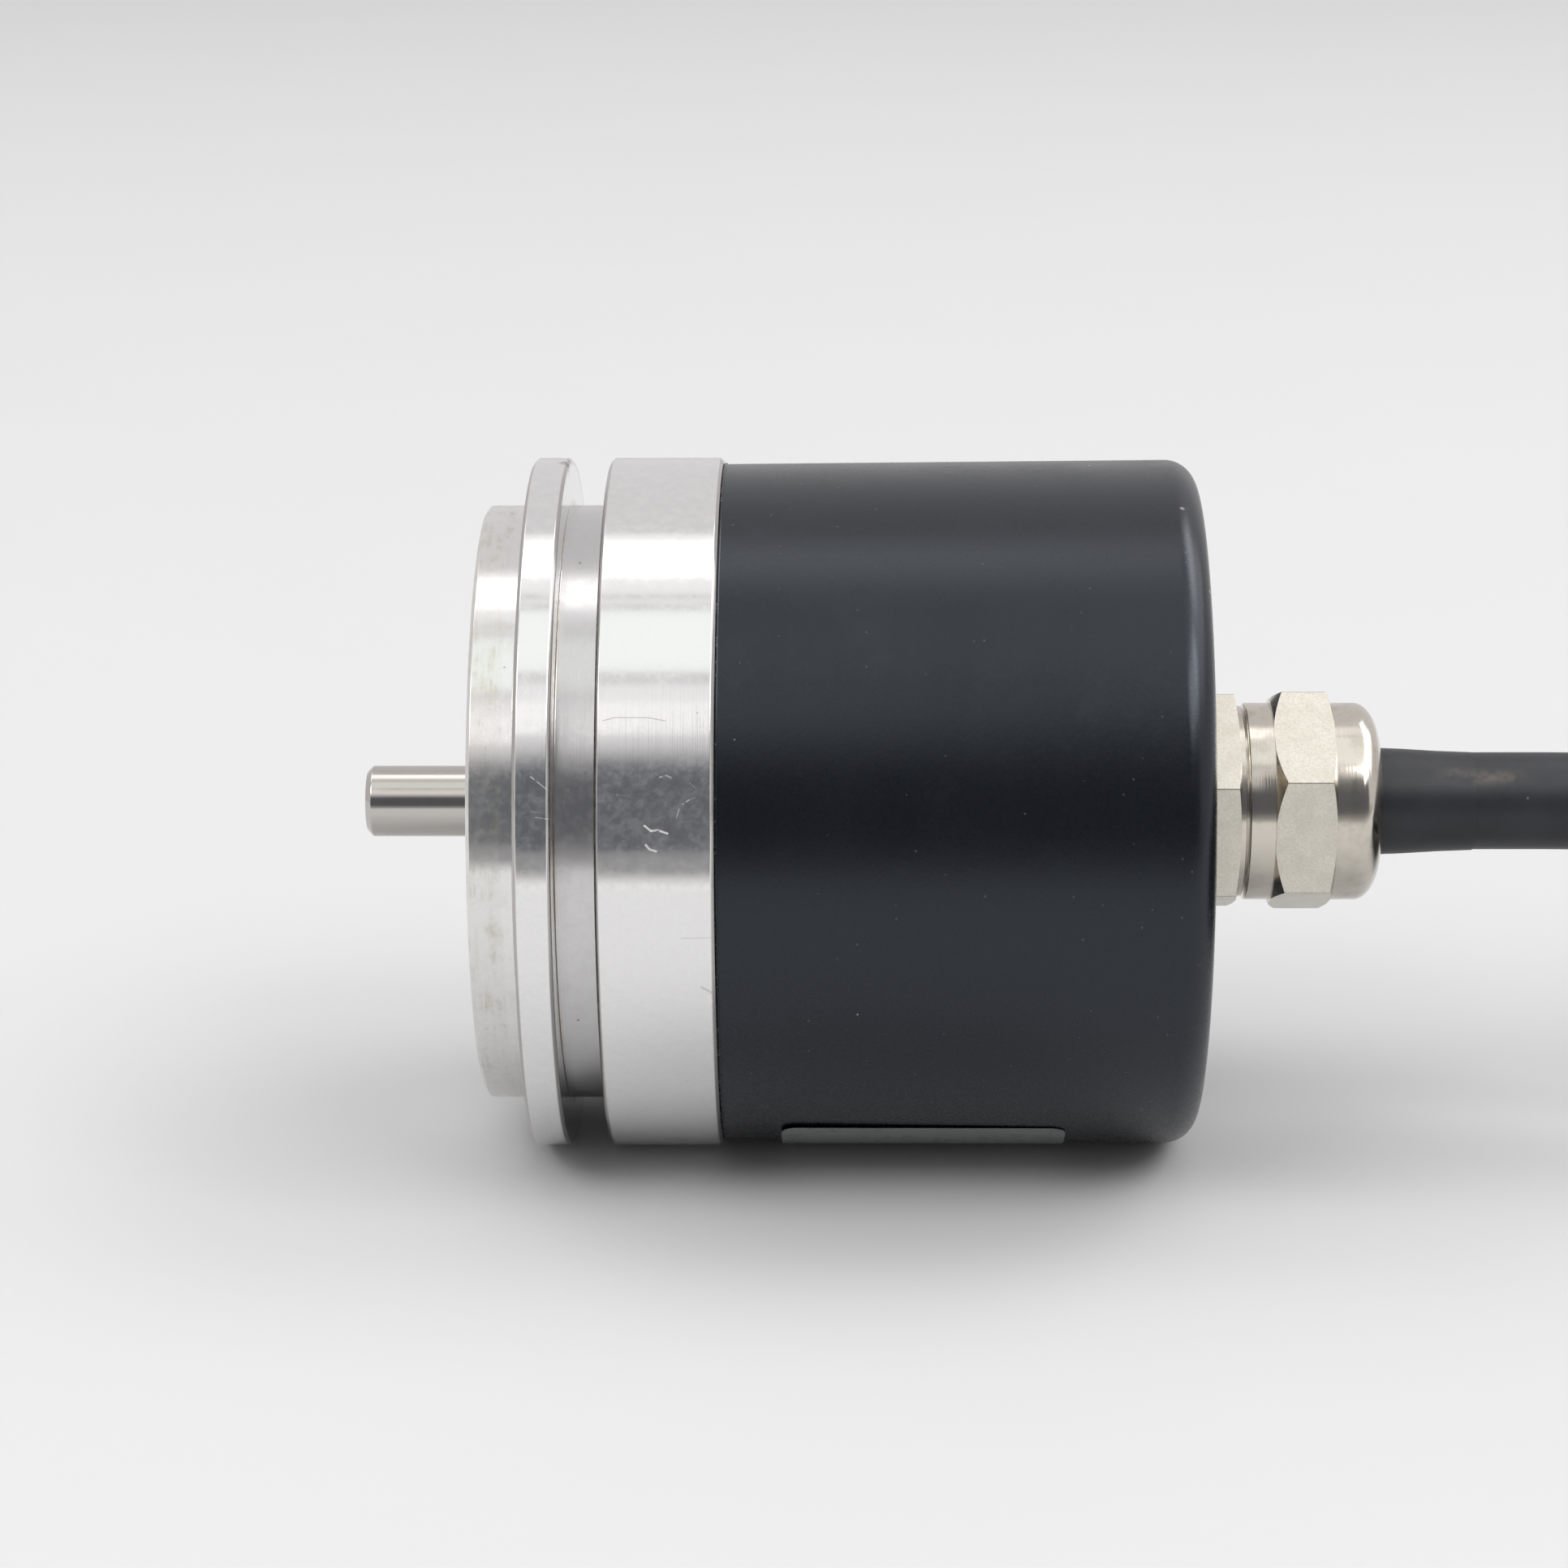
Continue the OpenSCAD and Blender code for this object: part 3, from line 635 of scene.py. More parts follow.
def coded_glass():
    """The disc's glass, with a ring of fine radial lines in chrome and a guard ring on each side of it."""
    look = Look("disc_glass", ior=1.5)
    radius, angle = look.turned()
    phase = look.times(angle, DISC_LINES / (2 * math.pi))
    lines = look.ramp(look.maths("FRACT", phase), 0.46, 0.54)
    track = look.bands(radius, [(15, 17)], 0.02)
    guards = look.bands(radius, [(14.2, 14.6), (17.1, 17.3)], 0.02)
    chrome = look.most([look.times(lines, track), guards])
    look.set("Base Color", look.mix(chrome, (0.85, 0.93, 0.92), (0.16, 0.15, 0.15)))
    look.set("Metallic", chrome)
    look.set("Transmission Weight", look.maths("SUBTRACT", 1.0, chrome))
    look.set("Roughness", look.times(look.noise(800.0), 0.1))
    return look.material


def board_resin():
    """Green solder mask over copper tracks, with a woven glass texture under it."""
    look = Look("board_resin", coat_weight=0.3, coat_roughness=0.15)
    bent = look.plus(look.y, look.times(look.noise(90.0, 0.0), 4 * MM))
    strips = look.maths("FRACT", look.times(bent, 900.0))
    copper = look.ramp(look.noise(160.0, 1.0), 0.45, 0.5)
    tracks = look.times(look.between(strips, 0.3, 0.7, 0.05), copper)
    weaving = {"Vector": look.where, "Scale": 400.0, "Distortion": 1.0}
    weave = look.add("TexWave", weaving, bands_direction="Y")
    colour = look.mix(weave.outputs["Fac"], (0.006, 0.07, 0.03), (0.01, 0.09, 0.04))
    look.set("Base Color", look.mix(tracks, colour, (0.02, 0.16, 0.06)))
    look.set("Roughness", look.scaled(tracks, -0.1, 0.4))
    look.bump(tracks, 0.4, 0.03)
    return look.material


def component_mix():
    """The parts on the board: black chips, pale resistors with tinned ends and two bare metal cans."""
    look = Look("board_parts")
    aside = look.maths("ABSOLUTE", look.y)
    cans = look.times(look.bands(aside, [(9.9, 14.1)], 0.01), look.bands(look.z, [(7.9, 12.1)], 0.01))
    row = look.bands(look.z, [(-7.05, -4.95)], 0.01)
    ends = look.bands(look.z, [(-7.1, -6.6), (-5.4, -4.9)], 0.02)
    grain = look.noise(2500.0, 3.0)
    colour = look.mix(grain, (0.014, 0.014, 0.015), (0.024, 0.024, 0.026))
    colour = look.mix(row, colour, (0.55, 0.45, 0.3))
    metal = look.most([cans, ends])
    look.set("Base Color", look.mix(metal, colour, (0.72, 0.72, 0.73)))
    look.set("Metallic", metal)
    look.set("Roughness", look.scaled(grain, 0.2, 0.35))
    look.bump(grain, 0.2, 0.01)
    return look.material


def core_mix():
    """The eight cores inside the cover, each with its own colour."""
    look = Look("core_plastic_mix")
    island = look.add("NewGeometry").outputs["Random Per Island"]
    colours = list(CORE_COLOURS.values())
    picked = look.add("ValToRGB", {"Fac": island})
    picked.color_ramp.interpolation = "CONSTANT"
    stops = picked.color_ramp.elements
    while len(stops) < len(colours):
        stops.new(0.5)
    for k, colour in enumerate(colours):
        stops[k].position = k / len(colours)
        stops[k].color = rgba(colour)
    grain = look.noise(1500.0, 2.0)
    look.set("Base Color", look.tint(picked.outputs["Color"], grain, 0.2, (0.3, 0.3, 0.3)))
    look.set("Roughness", look.scaled(grain, 0.15, 0.3))
    return look.material


def bright_nickel():
    """Nickel plate on the gland's turned faces."""
    look = Look("nickel_bright", metallic=1.0)
    patches = look.ramp(look.noise(450.0, 5.0, 0.65), 0.42, 0.7)
    look.set("Base Color", look.mix(patches, (0.66, 0.62, 0.55), (0.55, 0.51, 0.44)))
    lines = look.turning_lines(2500.0, 60.0)
    look.set("Roughness", look.plus(look.times(lines, 0.1), look.scaled(patches, 0.06, 0.1)))
    look.bump(look.turning_lines(7000.0, 60.0), 0.3, 0.02)
    return look.material


def matt_nickel():
    """Nickel plate on the flats of the hexagons."""
    look = Look("nickel_matte", metallic=1.0)
    grain = look.noise(5000.0, 3.0, 0.7)
    tone = look.ramp(look.noise(500.0, 4.0, 0.6), 0.35, 0.7)
    colour = look.mix(look.ramp(grain, 0.35, 0.65), (0.63, 0.6, 0.53), (0.74, 0.71, 0.63))
    look.set("Base Color", look.tint(colour, tone, 0.3, (0.52, 0.47, 0.38)))
    look.set("Roughness", look.scaled(grain, 0.16, 0.22))
    look.bump(grain, 0.35, 0.02)
    return look.material


def dress_carried_over(nickel, rubber):
    """Gives every CAD node that stays in the model its own material."""
    bearing_parts = [f"{side}_bearing_{part}" for side in ("front", "rear")
                     for part in ("outer_ring", "inner_ring", "balls")]
    dressed = [
        (turned_metal("bearing_steel", (0.72, 0.72, 0.73), 0.1, stained=0.1, lines=0.005), bearing_parts),
        (turned_metal("spring_steel", (0.3, 0.3, 0.32), 0.3, stain=(0.16, 0.13, 0.1), lines=0.01),
         ["preload_washer", "bearing_retaining_ring", "shaft_retaining_ring"]),
        (turned_metal("hub_brass", (0.72, 0.55, 0.27), 0.2, stain=(0.45, 0.3, 0.14)),
         ["disc_hub", "disc_clamp_ring", "board_standoffs"]),
        (turned_metal("cage_brass", (0.75, 0.6, 0.33), 0.25, stain=(0.5, 0.36, 0.18)),
         ["front_bearing_cage", "rear_bearing_cage"]),
        (turned_metal("screw_steel", (0.6, 0.6, 0.61), 0.28, lines=0.01),
         ["hub_set_screws", "lamp_screws", "board_screws"]),
        (turned_metal("spacer_steel", (0.62, 0.63, 0.64), 0.22), ["outer_spacer", "inner_spacer"]),
        (moulded("black_plastic", (0.018, 0.018, 0.02), 0.5), ["lamp_holder", "gland_claw"]),
        (rubber, ["shaft_seal", "cover_o_ring", "gland_o_ring"]),
        (nickel, ["gland_locknut"]),
        (coded_glass(), ["code_disc"]),
        (clear("mask_glass", (0.85, 0.93, 0.92), 0.02, 1.5), ["scanning_mask"]),
        (clear("lens_glass", (0.93, 0.95, 0.97), 0.01, 1.52), ["collimator_lens"]),
        (clear("emitter_resin", (0.8, 0.35, 0.3), 0.05, 1.5), ["led_emitter"]),
        (moulded("chip_plastic", (0.02, 0.02, 0.022), 0.45), ["sensor_chip"]),
        (board_resin(), ["circuit_board"]),
        (component_mix(), ["board_components"]),
        (moulded("header_plastic", (0.7, 0.69, 0.62), 0.4), ["wire_header"]),
        (core_mix(), ["inner_leads"]),
    ]
    for material, names in dressed:
        for name in names:
            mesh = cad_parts[name].data
            for k in range(len(mesh.materials)):
                mesh.materials[k] = material


# ---- Pieces ----

def build_flange():
    """Pilot, lip, clamp groove, body ring and bearing hub in one turned piece, with three threaded holes."""
    outline = rounded([
        (-4, 7, 0.1), (-4, 24.7, 0.06), (-3.7, PILOT_R, 0.06), (-0.35, PILOT_R, 0.03), (-0.35, 24.75, 0),
        (0, 24.75, 0), (0, 28.7, 0.08), (0.3, FLANGE_R, 0.08), (2.7, FLANGE_R, 0.08), (3, 28.7, 0.08),
        (3, PILOT_R, 0.12), (6.4, PILOT_R, 0.12), (6.4, 28.7, 0.08), (6.7, FLANGE_R, 0.08),
        (15.5, FLANGE_R, 0.08), (15.8, 28.7, 0.08), (15.8, 26.5, 0), (17.4, 26.5, 0), (17.4, 25.3, 0),
        (19.2, 25.3, 0), (19.2, 26.5, 0), (20.8, 26.5, 0.2), (20.8, 23.4, 0.2), (12, 23.4, 0), (12, 13, 0),
        (20.4, 13, 0.2), (20.4, 9.5, 0.2), (19.3, 9.5, 0), (19.3, 10.1, 0), (18.2, 10.1, 0), (18.2, 9.5, 0),
        (0.2, 9.5, 0), (0.2, 7, 0),
    ])
    flange = piece("flange_body", spin(lathe_columns(outline, 360)), ROOT, [turned_aluminium()],
                   ["flange"])
    thread = [(-5, 0), (-5, 2.3), (-4, 2.05)]
    for turn in range(THREAD_TURNS):
        root = -3.9 + THREAD_PITCH * turn
        thread += [(root, THREAD_CORE_R), (root + THREAD_PITCH / 2, THREAD_R)]
    thread += [(4, THREAD_CORE_R), (4, 0)]
    cutters = []
    for k in range(SCREW_COUNT):
        angle = math.radians(360 * k / SCREW_COUNT)
        y = -SCREW_CIRCLE_R * math.sin(angle)
        z = SCREW_CIRCLE_R * math.cos(angle)
        cutters.append(moved(spin(lathe_columns(thread, 32), closed=False), y, z))
    cut(flange, cutters)
    weigh_normals(flange)


def build_shaft():
    """The shaft, with a centre hole in its front end and grooves for the seal and the retaining ring."""
    outline = [(-13.7, 0), (-13.9, 0.4), (-14.5, 0.95)]
    outline += rounded([
        (-14.5, 0.95, 0), (-14.5, 2.5, 0.1), (-14, SHAFT_R, 0.15), (-4, SHAFT_R, 0), (-4, 2.8, 0),
        (-3.2, 2.8, 0), (-3.2, SHAFT_R, 0), (18.2, SHAFT_R, 0), (18.2, 2.55, 0), (19, 2.55, 0),
        (19, SHAFT_R, 0), (26.5, SHAFT_R, 0), (26.8, 2.7, 0),
    ])
    outline.append((26.8, 0))
    metal = turned_metal("ground_steel", (0.56, 0.535, 0.505), 0.14, lines=0.01)
    shaft = piece("shaft_rod", spin(lathe_columns(outline, 128), closed=False), ROTOR, [metal],
                  ["shaft"])
    weigh_normals(shaft)


def build_cover():
    """The painted cup, with a round rear edge and a hole for the gland in its rear wall."""
    edge_x = 52.7
    edge_r = COVER_R - COVER_EDGE_R
    end = edge_x + COVER_EDGE_R
    inner_end = end - COVER_WALL
    outline = rounded([(15.8, 26.75, 0), (15.8, 28.45, 0.08), (16.1, COVER_R, 0.1)])
    outline += arc(edge_x, edge_r, COVER_EDGE_R, 90, 0, 16)
    outline += rounded([(end, 20, 0), (end, 6, 0.2), (inner_end, 6, 0), (inner_end, 20, 0)])
    outline += arc(edge_x, edge_r, COVER_EDGE_R - COVER_WALL, 0, 90, 6)
    cup = spin(lathe_columns(outline, 360))
    cover = piece("cover_cup", cup, ROOT, [dark_paint()], ["cover"])
    weigh_normals(cover)


def label_stations(steps=28, corner_steps=6):
    """Distances along the label's width, closer together in its rounded corners."""
    corner, width = LABEL["corner"], LABEL["width"]
    ends = [corner * (1 - math.cos(math.pi / 2 * k / corner_steps)) for k in range(corner_steps + 1)]
    middle = [corner + (width - 2 * corner) * k / steps for k in range(1, steps)]
    return ends + middle + [width - e for e in reversed(ends)]


def label_layer(bm, radius, rings=60):
    """Grid of vertices of one face of the label, and its faces, on a cylinder of that radius."""
    corner = LABEL["corner"]
    arc_mm = math.radians(LABEL["arc"]) * COVER_R
    grid = []
    for along in label_stations():
        inside = max(0, corner - min(along, LABEL["width"] - along))
        inset = corner - math.sqrt(max(0, corner ** 2 - inside ** 2))
        column = []
        for k in range(rings + 1):
            s = inset + (arc_mm - 2 * inset) * k / rings
            angle = math.radians(LABEL["from_top"]) + s / COVER_R
            y = -radius * math.sin(angle)
            z = radius * math.cos(angle)
            column.append(bm.verts.new(Vector((LABEL["x"] + along, y, z)) * MM))
        grid.append(column)
    for left, right in zip(grid, grid[1:]):
        fill_between(bm, left, right)
    return grid


def fill_between(bm, a, b):
    for k in range(len(a) - 1):
        bm.faces.new((a[k], a[k + 1], b[k + 1], b[k]))


def build_nameplate():
    """Blank foil label with rounded corners, bent round the cover."""
    bm = bmesh.new()
    lower = label_layer(bm, COVER_R + LABEL["off"])
    upper = label_layer(bm, COVER_R + LABEL["thick"])
    for end in (0, -1):
        fill_between(bm, [column[end] for column in lower], [column[end] for column in upper])
        fill_between(bm, lower[end], upper[end])
    bmesh.ops.remove_doubles(bm, verts=bm.verts, dist=MERGE_WITHIN)
    bmesh.ops.recalc_face_normals(bm, faces=bm.faces)
    piece("nameplate_foil", bm, ROOT, [label_foil()], ["nameplate"])


def build_hexagon_piece(name, node, metals, turn, before, hexagon, after):
    """A turned piece of the gland, from the outlines before and after its hexagon.

    The hexagon is its x0, its x1 and its two chamfers."""
    x0, x1, front, rear = hexagon
    columns = []
    for angle in hexagon_angles(turn):
        r = hexagon_r(angle, GLAND_AF, turn, HEX_CORNER_R)
        columns.append((angle, before + hexagon_column(r, x0, x1, GLAND_AF, front, rear) + after))
    flats = len(before) + 1
    obj = piece(name, spin(columns, marked=(flats,)), ROOT, metals, [node])
    bevel(obj, HEX_EDGE_BEVEL)
    weigh_normals(obj)


def build_gland_body(metals):
    """Thread through the cover's rear wall, flange inside it, hexagon outside, and the thread for the nut."""
    before = [(50, 4.4), (50, 5.7), (50.3, 6), (55.2, 6), (55.2, 6.5), (56.6, 6.5), (56.6, 8), (55.2, 8)]
    after = [
        (58.7, 8.05), (59.15, 8.05), (59.2, 8.0), (59.2, 7.1), (66.3, 7.1), (66.4, 7.0), (66.4, 5.9),
        (61, 5.9), (61, 4.4),
    ]
    build_hexagon_piece("gland_body_hexagon", "gland_body", metals, BODY_HEX_TURN, before,
                        (55.2, 58.7, 0.4, 0.3), after)


def build_gland_nut(metals):
    """Collar, hexagon and dome, with a slightly flattened round corner on the dome."""
    collar = [(59.4, 7.15), (59.4, 8.15), (59.45, 8.25), (59.55, GLAND_ROUND_R), (61.6, GLAND_ROUND_R)]
    corner_r = 3.2
    corner_x = 68.7
    flattened = 0.625
    corner = arc(0, GLAND_ROUND_R - corner_r, corner_r, 90, 0, 14)
    dome = [(corner_x + flattened * x, r) for x, r in corner]
    after = [(66.6, GLAND_ROUND_R), *dome, (70.7, 4.7), (69.5, 4.7), (66.8, 7.15)]
    build_hexagon_piece("gland_dome_nut", "gland_nut", metals, NUT_HEX_TURN, collar,
                        (61.6, 66.6, 0.9, 0.5), after)


def build_gland_seal(jacket):
    """The rubber sleeve in the nut, tapering on to the cable outside it."""
    outline = rounded([
        (61.6, 4.12, 0), (61.6, 4.9, 0.1), (68.8, 4.9, 0.2), (69.6, 4.5, 0.2), (70.7, 4.5, 0),
        (72.8, 4.42, 0), (75.8, 4.24, 0), (78.7, 4.13, 0), (78.7, 4.11, 0),
    ])
    sleeve = spin(lathe_columns(outline, 96))
    piece("gland_seal_sleeve", sleeve, ROOT, [jacket], ["gland_seal"])


# ---- The cable ----

def place_in_bundle(turn):
    """(outwards, up) in mm from the bundle's middle to the strand that has gone that many turns."""
    angle = math.radians(45 - 90 * turn)
    return STRAND_OFF * math.cos(angle), STRAND_OFF * math.sin(angle)


def coil_strand(turn):
    """Point of the cable's centre line in the coil, in mm, after that many turns from the viewer's side."""
    round_coil = math.radians(360 * turn - 90)
    outwards, up = place_in_bundle(turn)
    r = COIL_R + outwards
    x, y, z = COIL_AT
    return (x + r * math.cos(round_coil), y + r * math.sin(round_coil), z + up)


def build_cable(jacket):
    """The whole cable on one smooth curve: out of the gland, down to the floor and into its coil."""
    route = smooth_path(metres(CABLE_ROUTE), 2)
    steps = round(COIL_TURNS * COIL_STEPS)
    route += metres([coil_strand(k / COIL_STEPS) for k in range(1, steps + 1)])
    line = bpy.data.curves.new("cable", "CURVE")
    line.dimensions = "3D"
    line.bevel_depth = CABLE_R * MM
    line.bevel_resolution = 8
    line.resolution_u = 6
    line.use_fill_caps = True
    spline = line.splines.new("BEZIER")
    spline.bezier_points.add(len(route) - 1)
    for knot, point in zip(spline.bezier_points, route):
        knot.co = point
        knot.handle_left_type = "AUTO"
        knot.handle_right_type = "AUTO"
    line.materials.append(jacket)
    cable = new_object("cable_jacket_tube", line)
    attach(cable, ROOT)
    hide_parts("cable_run", "cable_coil")


def hull(points):
    """Corners of the smallest convex polygon round 2D points, anticlockwise."""
    def half(ordered):
        chain = []
        for p in ordered:
            while len(chain) > 1:
                (ax, ay), (bx, by) = chain[-2], chain[-1]
                if (bx - ax) * (p[1] - ay) - (by - ay) * (p[0] - ax) > 1e-9:
                    break
                chain.pop()
            chain.append(p)
        return chain[:-1]
    ordered = sorted(set(points))
    return half(ordered) + half(ordered[::-1])


def strap_outline(angle, off):
    """Closed line round the coil's strands at a tie, as (outwards, up) in mm from the bundle's middle."""
    points = []
    turn = (angle + 90) % 360 / 360
    r = CABLE_R + off
    while turn <= COIL_TURNS:
        outwards, up = place_in_bundle(turn)
        for degrees in range(0, 360, 10):
            a = math.radians(degrees)
            points.append((round(outwards + r * math.cos(a), 4), round(up + r * math.sin(a), 4)))
        turn += 1
    return hull(points)


def build_ties(strap):
    """Two woven straps round the coil, each with its free end laid back over itself."""
    bm = bmesh.new()
    for angle in TIE_ANGLES:
        for start, share, low, high in TIE_LAYERS:
            inner, outer = (resample(strap_outline(angle, off), TIE_STEPS) for off in (low, high))
            add_band(bm, angle, inner, outer, start, share)
    bmesh.ops.recalc_face_normals(bm, faces=bm.faces)
    return piece("coil_tie_straps", bm, ROOT, [strap], ["coil_ties"])


def resample(corners, count):
    """That many points at even distances along a closed outline, sorted by their angle round its middle."""
    cx = sum(p[0] for p in corners) / len(corners)
    cy = sum(p[1] for p in corners) / len(corners)
    lengths = [0]
    loop = corners + corners[:1]
    for a, b in zip(loop, loop[1:]):
        lengths.append(lengths[-1] + math.dist(a, b))
    points = []
    k = 0
    for i in range(count):
        want = lengths[-1] * i / count
        while lengths[k + 1] < want:
            k += 1
        t = (want - lengths[k]) / (lengths[k + 1] - lengths[k])
        (ax, ay), (bx, by) = loop[k], loop[k + 1]
        points.append((ax + t * (bx - ax), ay + t * (by - ay)))
    return sorted(points, key=lambda p: math.atan2(p[1] - cy, p[0] - cx))


def add_band(bm, angle, inner, outer, start, share):
    """Adds one layer of a strap across the coil's bundle, all the way round or for a share of it."""
    count = len(inner)
    first = round(start * count)
    whole = share >= 1
    spans = count if whole else round(share * count)
    out = Vector((math.cos(math.radians(angle)), math.sin(math.radians(angle)), 0))
    ahead = Vector((-out.y, out.x, 0))
    centre = Vector(COIL_AT) + out * COIL_R
    rings = []
    for i in range(spans if whole else spans + 1):
        ring = []
        for points, side in ((inner, -1), (inner, 1), (outer, 1), (outer, -1)):
            u, v = points[(first + i) % count]
            corner = centre + out * u + Vector((0, 0, v)) + ahead * side * TIE_W / 2
            ring.append(bm.verts.new(corner * MM))
        rings.append(ring)
    pairs = list(zip(rings, rings[1:])) + ([(rings[-1], rings[0])] if whole else [])
    for ring, following in pairs:
        join_rings(bm, ring, following)
    if not whole:
        bm.faces.new(rings[0])
        bm.faces.new(rings[-1])


def build_lead_ends(colours, ferrule):
    """The eight stripped cores at the cable's free end, each with a crimped ferrule."""
    bm = bmesh.new()
    centre = Vector(COIL_AT)
    route = smooth_path([(centre + Vector(p)) * MM for p in LEADS_ROUTE], 6)
    last = len(route) - 1
    for core in range(len(colours)):
        path = []
        for i in range(len(route)):
            angle = 2 * math.pi * (core / len(colours) + CORE_TWIST * i / last)
            spread = CORE_CIRCLE_R + CORE_SPREAD * (i / last) ** 2
            path.append(round_point(route, i, spread * MM, angle))
        sweep(bm, path[:-FERRULE_POINTS + 2], CORE_R * MM, core)
        sweep(bm, path[-FERRULE_POINTS:], FERRULE_R * MM, len(colours))
    bmesh.ops.recalc_face_normals(bm, faces=bm.faces)
    return piece("stripped_cores", bm, ROOT, [*colours, ferrule], ["lead_ends"])


# ---- Stage, lights and camera ----

# The camera: angles in degrees, distances in metres, lens and sensor in mm
VIEW = {"elevation": 15, "yaw": -1.08, "aim_x": 0.02074, "distance": 0.3644, "lift": 0.00144,
        "lens": 98.85, "sensor": 36}
ROOM_TONE = (0.72, 0.705, 0.71)
FLOOR_TONE = (0.558, 0.561, 0.567)
ROOM_REACH = 4          # of the planes that only reflections meet, to the left and right
ROOM_FRONT_Y = -3
CARDS_MEET_X = 0.12


def build_camera():
    """The camera of the photographed view, a little above the object and almost square to the shaft axis."""
    elevation = math.radians(VIEW["elevation"])
    yaw = math.radians(VIEW["yaw"])
    across = Vector((1, 0, 0))
    level_back = Vector((0, -math.cos(elevation), math.sin(elevation)))
    up = Vector((0, math.sin(elevation), math.cos(elevation)))
    back = math.cos(yaw) * level_back - math.sin(yaw) * across
    right = math.cos(yaw) * across + math.sin(yaw) * level_back
    data = bpy.data.cameras.new("camera")
    data.sensor_width = VIEW["sensor"]
    data.lens = VIEW["lens"]
    data.clip_start = 0.01
    data.clip_end = 100
    camera = new_object("camera", data)
    aim = Vector((VIEW["aim_x"], 0, 0))
    turn = Matrix((right, up, back)).transposed().to_4x4()
    camera.matrix_world = Matrix.Translation(aim + VIEW["distance"] * back + VIEW["lift"] * up) @ turn
    bpy.context.scene.camera = camera


def stage_plane(name, low, high, material, shown=True):
    """A flat stage object between two opposite corners in metres, level or facing the camera.

    If it isn't shown, only reflections meet it."""
    (x0, y0, z0), (x1, y1, z1) = low, high
    bm = bmesh.new()
    bm.faces.new([bm.verts.new(p) for p in ((x0, y0, z0), (x1, y0, z0), (x1, y1, z1), (x0, y1, z1))])
    plane = new_object(name, new_mesh(name, bm, [material]))
    plane.visible_camera = shown
    plane.visible_diffuse = shown
    plane.visible_shadow = shown


def build_floor():
    look = Look("floor_paper", roughness=0.9)
    tone = look.noise(30.0, 3.0)
    darker = tuple(c * 0.985 for c in FLOOR_TONE)
    look.set("Base Color", look.mix(tone, FLOOR_TONE, darker))
    reach = 12
    stage_plane("floor", (-reach, -reach, FLOOR_Z), (reach, reach, FLOOR_Z), look.material)


def build_dim_bench():
    """The darker bench in front of the paper, which the metal reflects."""
    look = Look("dim_bench", roughness=1.0)
    away = look.times(look.y, -1.0)
    tone = look.mix(look.ramp(away, 0.12, 0.26), (0.72, 0.72, 0.71), (0.165, 0.165, 0.17))
    look.set("Base Color", tone)
    z = FLOOR_Z + 1 * MM
    low = (-ROOM_REACH, ROOM_FRONT_Y, z)
    high = (ROOM_REACH, -0.15, z)
    stage_plane("dim_bench", low, high, look.material, shown=False)


def dark_card(name, start, end, dark_to, bright_from):
    """A card across the room's front between two X, which stands for the dark room behind the camera.

    It is dark up to one height and as bright as the room from another. All four are in metres."""
    look = Look(name, base_color=(0.05, 0.05, 0.055, 1), roughness=1.0, emission_strength=1.0)
    fading = look.ramp(look.z, dark_to, bright_from)
    look.set("Emission Color", look.mix(fading, (0.085, 0.09, 0.1), (0.72, 0.705, 0.705)))
    low = (start, ROOM_FRONT_Y, -0.2)
    high = (end, ROOM_FRONT_Y, bright_from)
    stage_plane(name, low, high, look.material, shown=False)


def panel(name, low, high, turn, distance, start, end, colour, radiance):
    """A soft light between two angles above the horizon, as seen from the object, in degrees.

    It stands on the camera's side, turned towards +X by that many degrees. Start and end are its reach to
    the left and right in metres, as seen from the camera's side."""
    round_z = Matrix.Rotation(math.radians(turn), 3, "Z")
    angles = (math.radians(low), math.radians(high))
    edges = [Vector((0, -math.cos(a), math.sin(a))) * distance for a in angles]
    facing = round_z @ ((edges[0] + edges[1]) / 2)
    data = bpy.data.lights.new(name, "AREA")
    data.shape = "RECTANGLE"
    data.size = end - start
    data.size_y = (edges[1] - edges[0]).length
    data.color = colour
    data.energy = radiance * math.pi * data.size * data.size_y
    light = new_object(name, data)
    light.location = facing + round_z @ Vector(((start + end) / 2, 0, 0))
    light.rotation_euler = (-facing).to_track_quat("-Z", "Y").to_euler()
    light.visible_camera = False


def build_world():
    world = bpy.data.worlds.new("studio")
    bpy.context.scene.world = world
    world.use_nodes = True
    background = world.node_tree.nodes["Background"]
    background.inputs["Color"].default_value = rgba(ROOM_TONE)
    background.inputs["Strength"].default_value = 1.0


WARM = (1.0, 0.99, 0.98)
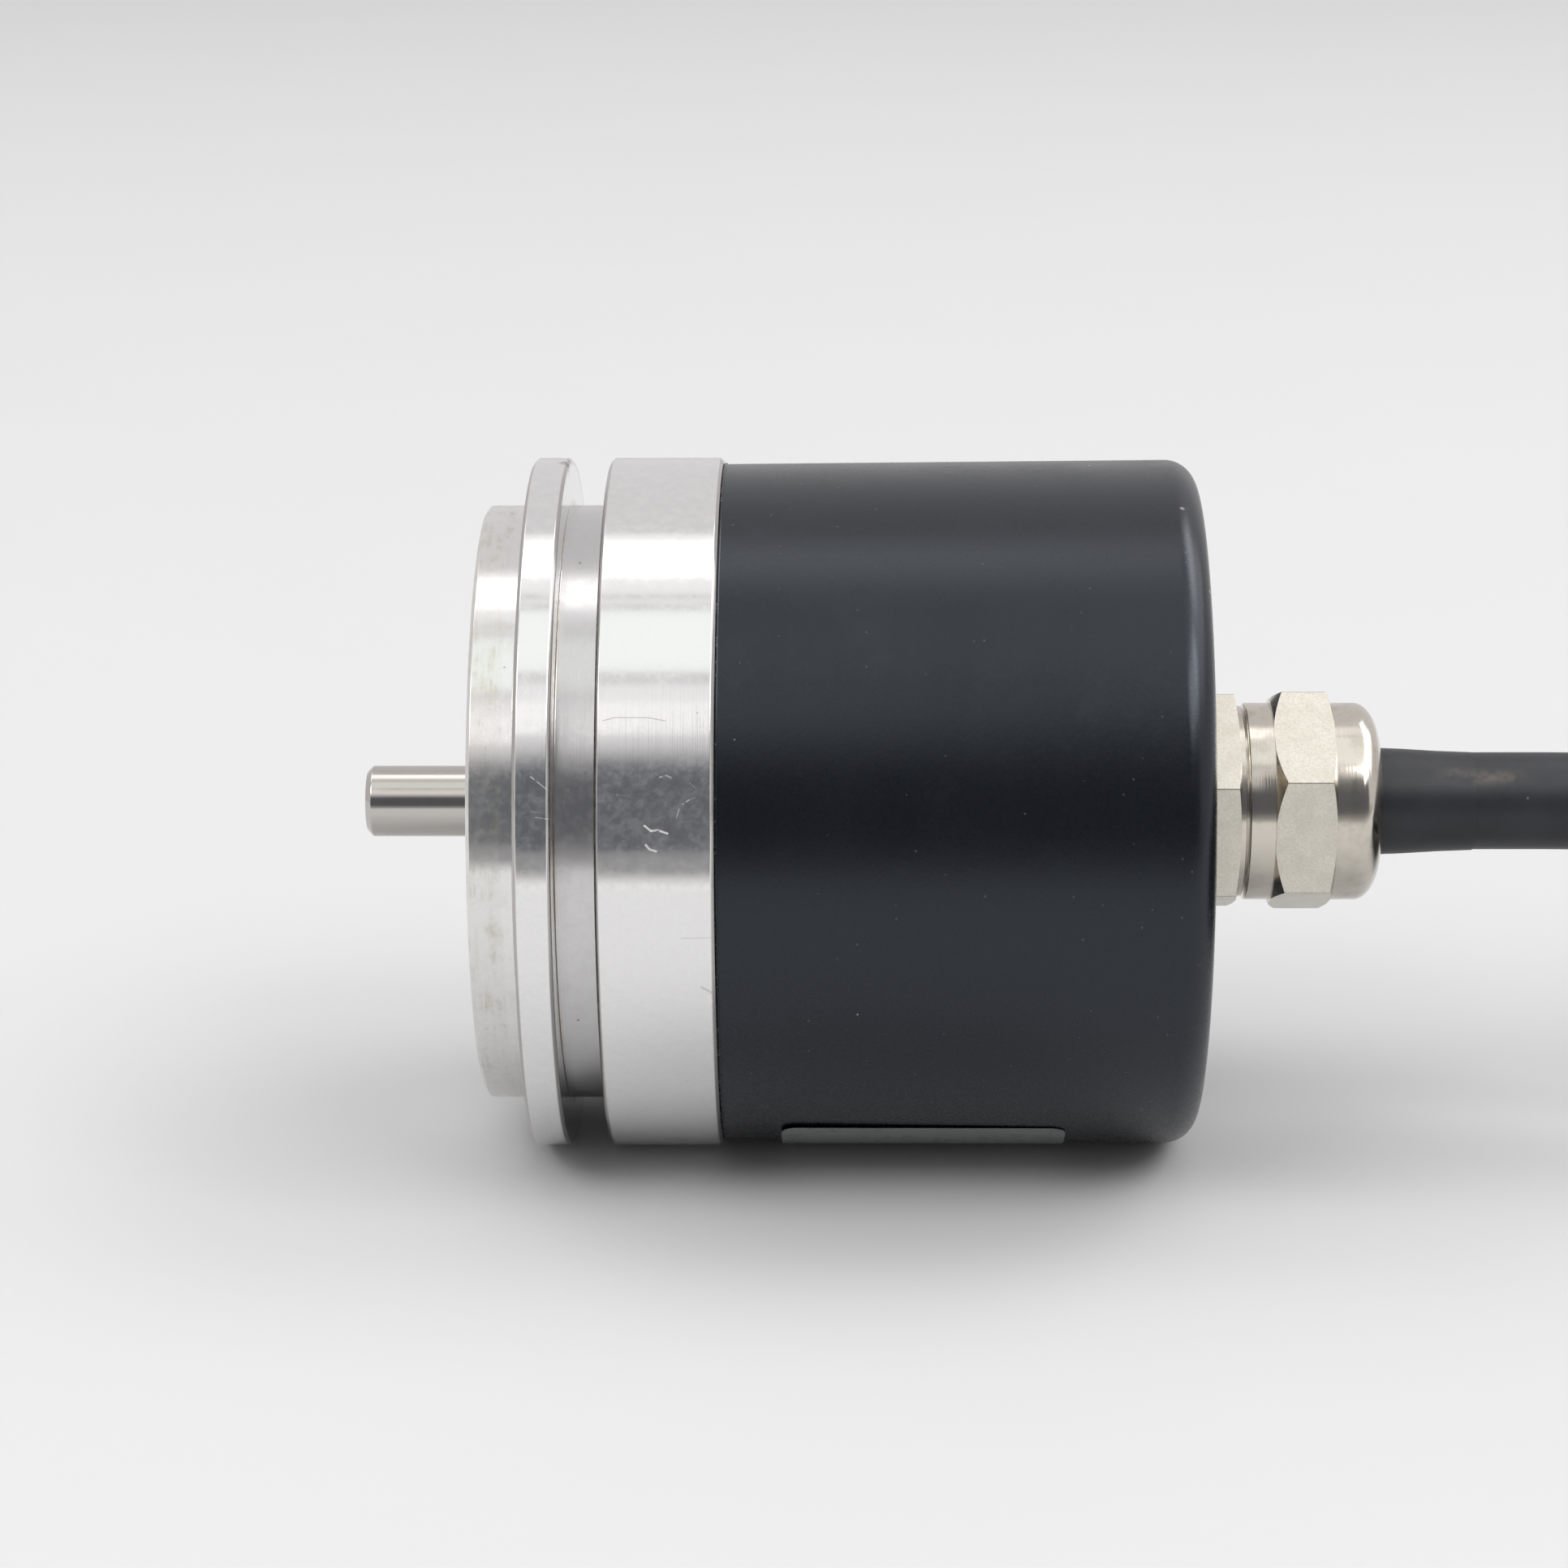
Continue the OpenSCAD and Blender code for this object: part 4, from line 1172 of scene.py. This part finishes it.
# Name; lower edge, upper edge and turn in degrees; distance, start and end in metres; colour; radiance over
# the room's own
PANELS = [
    ("panel_over_fade", 109, 113, 0, 1.8, -1.2, 0.2, WARM, 0.3),
    ("panel_over", 93.8, 109, 0, 1.8, -1.2, 0.2, WARM, 1.2),
    ("panel_over_right", 98, 112, 0, 1.8, 0.2, 1.2, WARM, 0.4),
    ("panel_over_edge", 86.2, 93.7, 0, 1.8, -1.2, 0.1, (0.98, 1.0, 1.0), 0.28),
    ("panel_sliver", 82.4, 84, 0, 1.8, -0.7, 0.1, (0.97, 1.0, 0.98), 0.3),
    ("panel_front_high", 57.4, 79.8, 0, 1.8, -0.7, 0.1, (0.87, 1.0, 0.93), 0.39),
    ("panel_front_high_right", 59, 95, 0, 1.8, 0.1, 0.9, (0.96, 1.0, 0.97), 0.5),
    ("panel_front_low_fade", 47.5, 53.2, 0, 2.2, -1.4, 0.06, (1.0, 0.97, 1.0), 0.24),
    ("panel_front_low", 36.5, 47.4, 0, 2.2, -1.4, 0.06, (1.0, 0.97, 0.98), 0.4),
    ("panel_left_front", 34, 56, -46, 2.0, -0.6, 0.6, WARM, 3.6),
    ("panel_right_front", 34, 56, 47, 2.0, -0.6, 0.6, WARM, 3.6),
    ("panel_left_back", 117, 134, 60, 2.0, -0.6, 0.6, WARM, 1.8),
    ("panel_right_back", 117, 134, -60, 2.0, -0.6, 0.6, WARM, 2.4),
    ("panel_right", 40, 60, 64, 2.0, -0.12, 0.12, (1.0, 0.98, 0.98), 3.4),
    ("panel_right_wide", 26, 62, 102, 2.0, -0.8, 0.8, (1.0, 0.98, 0.98), 1.35),
]


# ---- The scene ----

build_camera()
rubber = moulded("seal_rubber", (0.022, 0.023, 0.026), 0.6)
core_materials = [moulded("core_" + name, colour, 0.35) for name, colour in CORE_COLOURS.items()]
ferrule_metal = turned_metal("ferrule_tin", (0.75, 0.74, 0.72), 0.3)
ties = build_ties(moulded("tie_plastic", (0.02, 0.02, 0.022), 0.7))
cores = build_lead_ends(core_materials, ferrule_metal)
jacket = cable_jacket()
build_cable(jacket)
build_flange()
build_shaft()
build_cover()
build_nameplate()
nickel = [bright_nickel(), matt_nickel()]
build_gland_body(nickel)
build_gland_nut(nickel)
build_gland_seal(jacket)
dress_carried_over(nickel[0], rubber)
build_floor()
build_world()
build_dim_bench()
dark_card("dark_card", -ROOM_REACH, CARDS_MEET_X, 1.3, 2.15)
dark_card("dark_card_right", CARDS_MEET_X, ROOM_REACH, 2.45, 3.3)
for settings in PANELS:
    panel(*settings)
bpy.context.scene.view_settings.view_transform = "Standard"
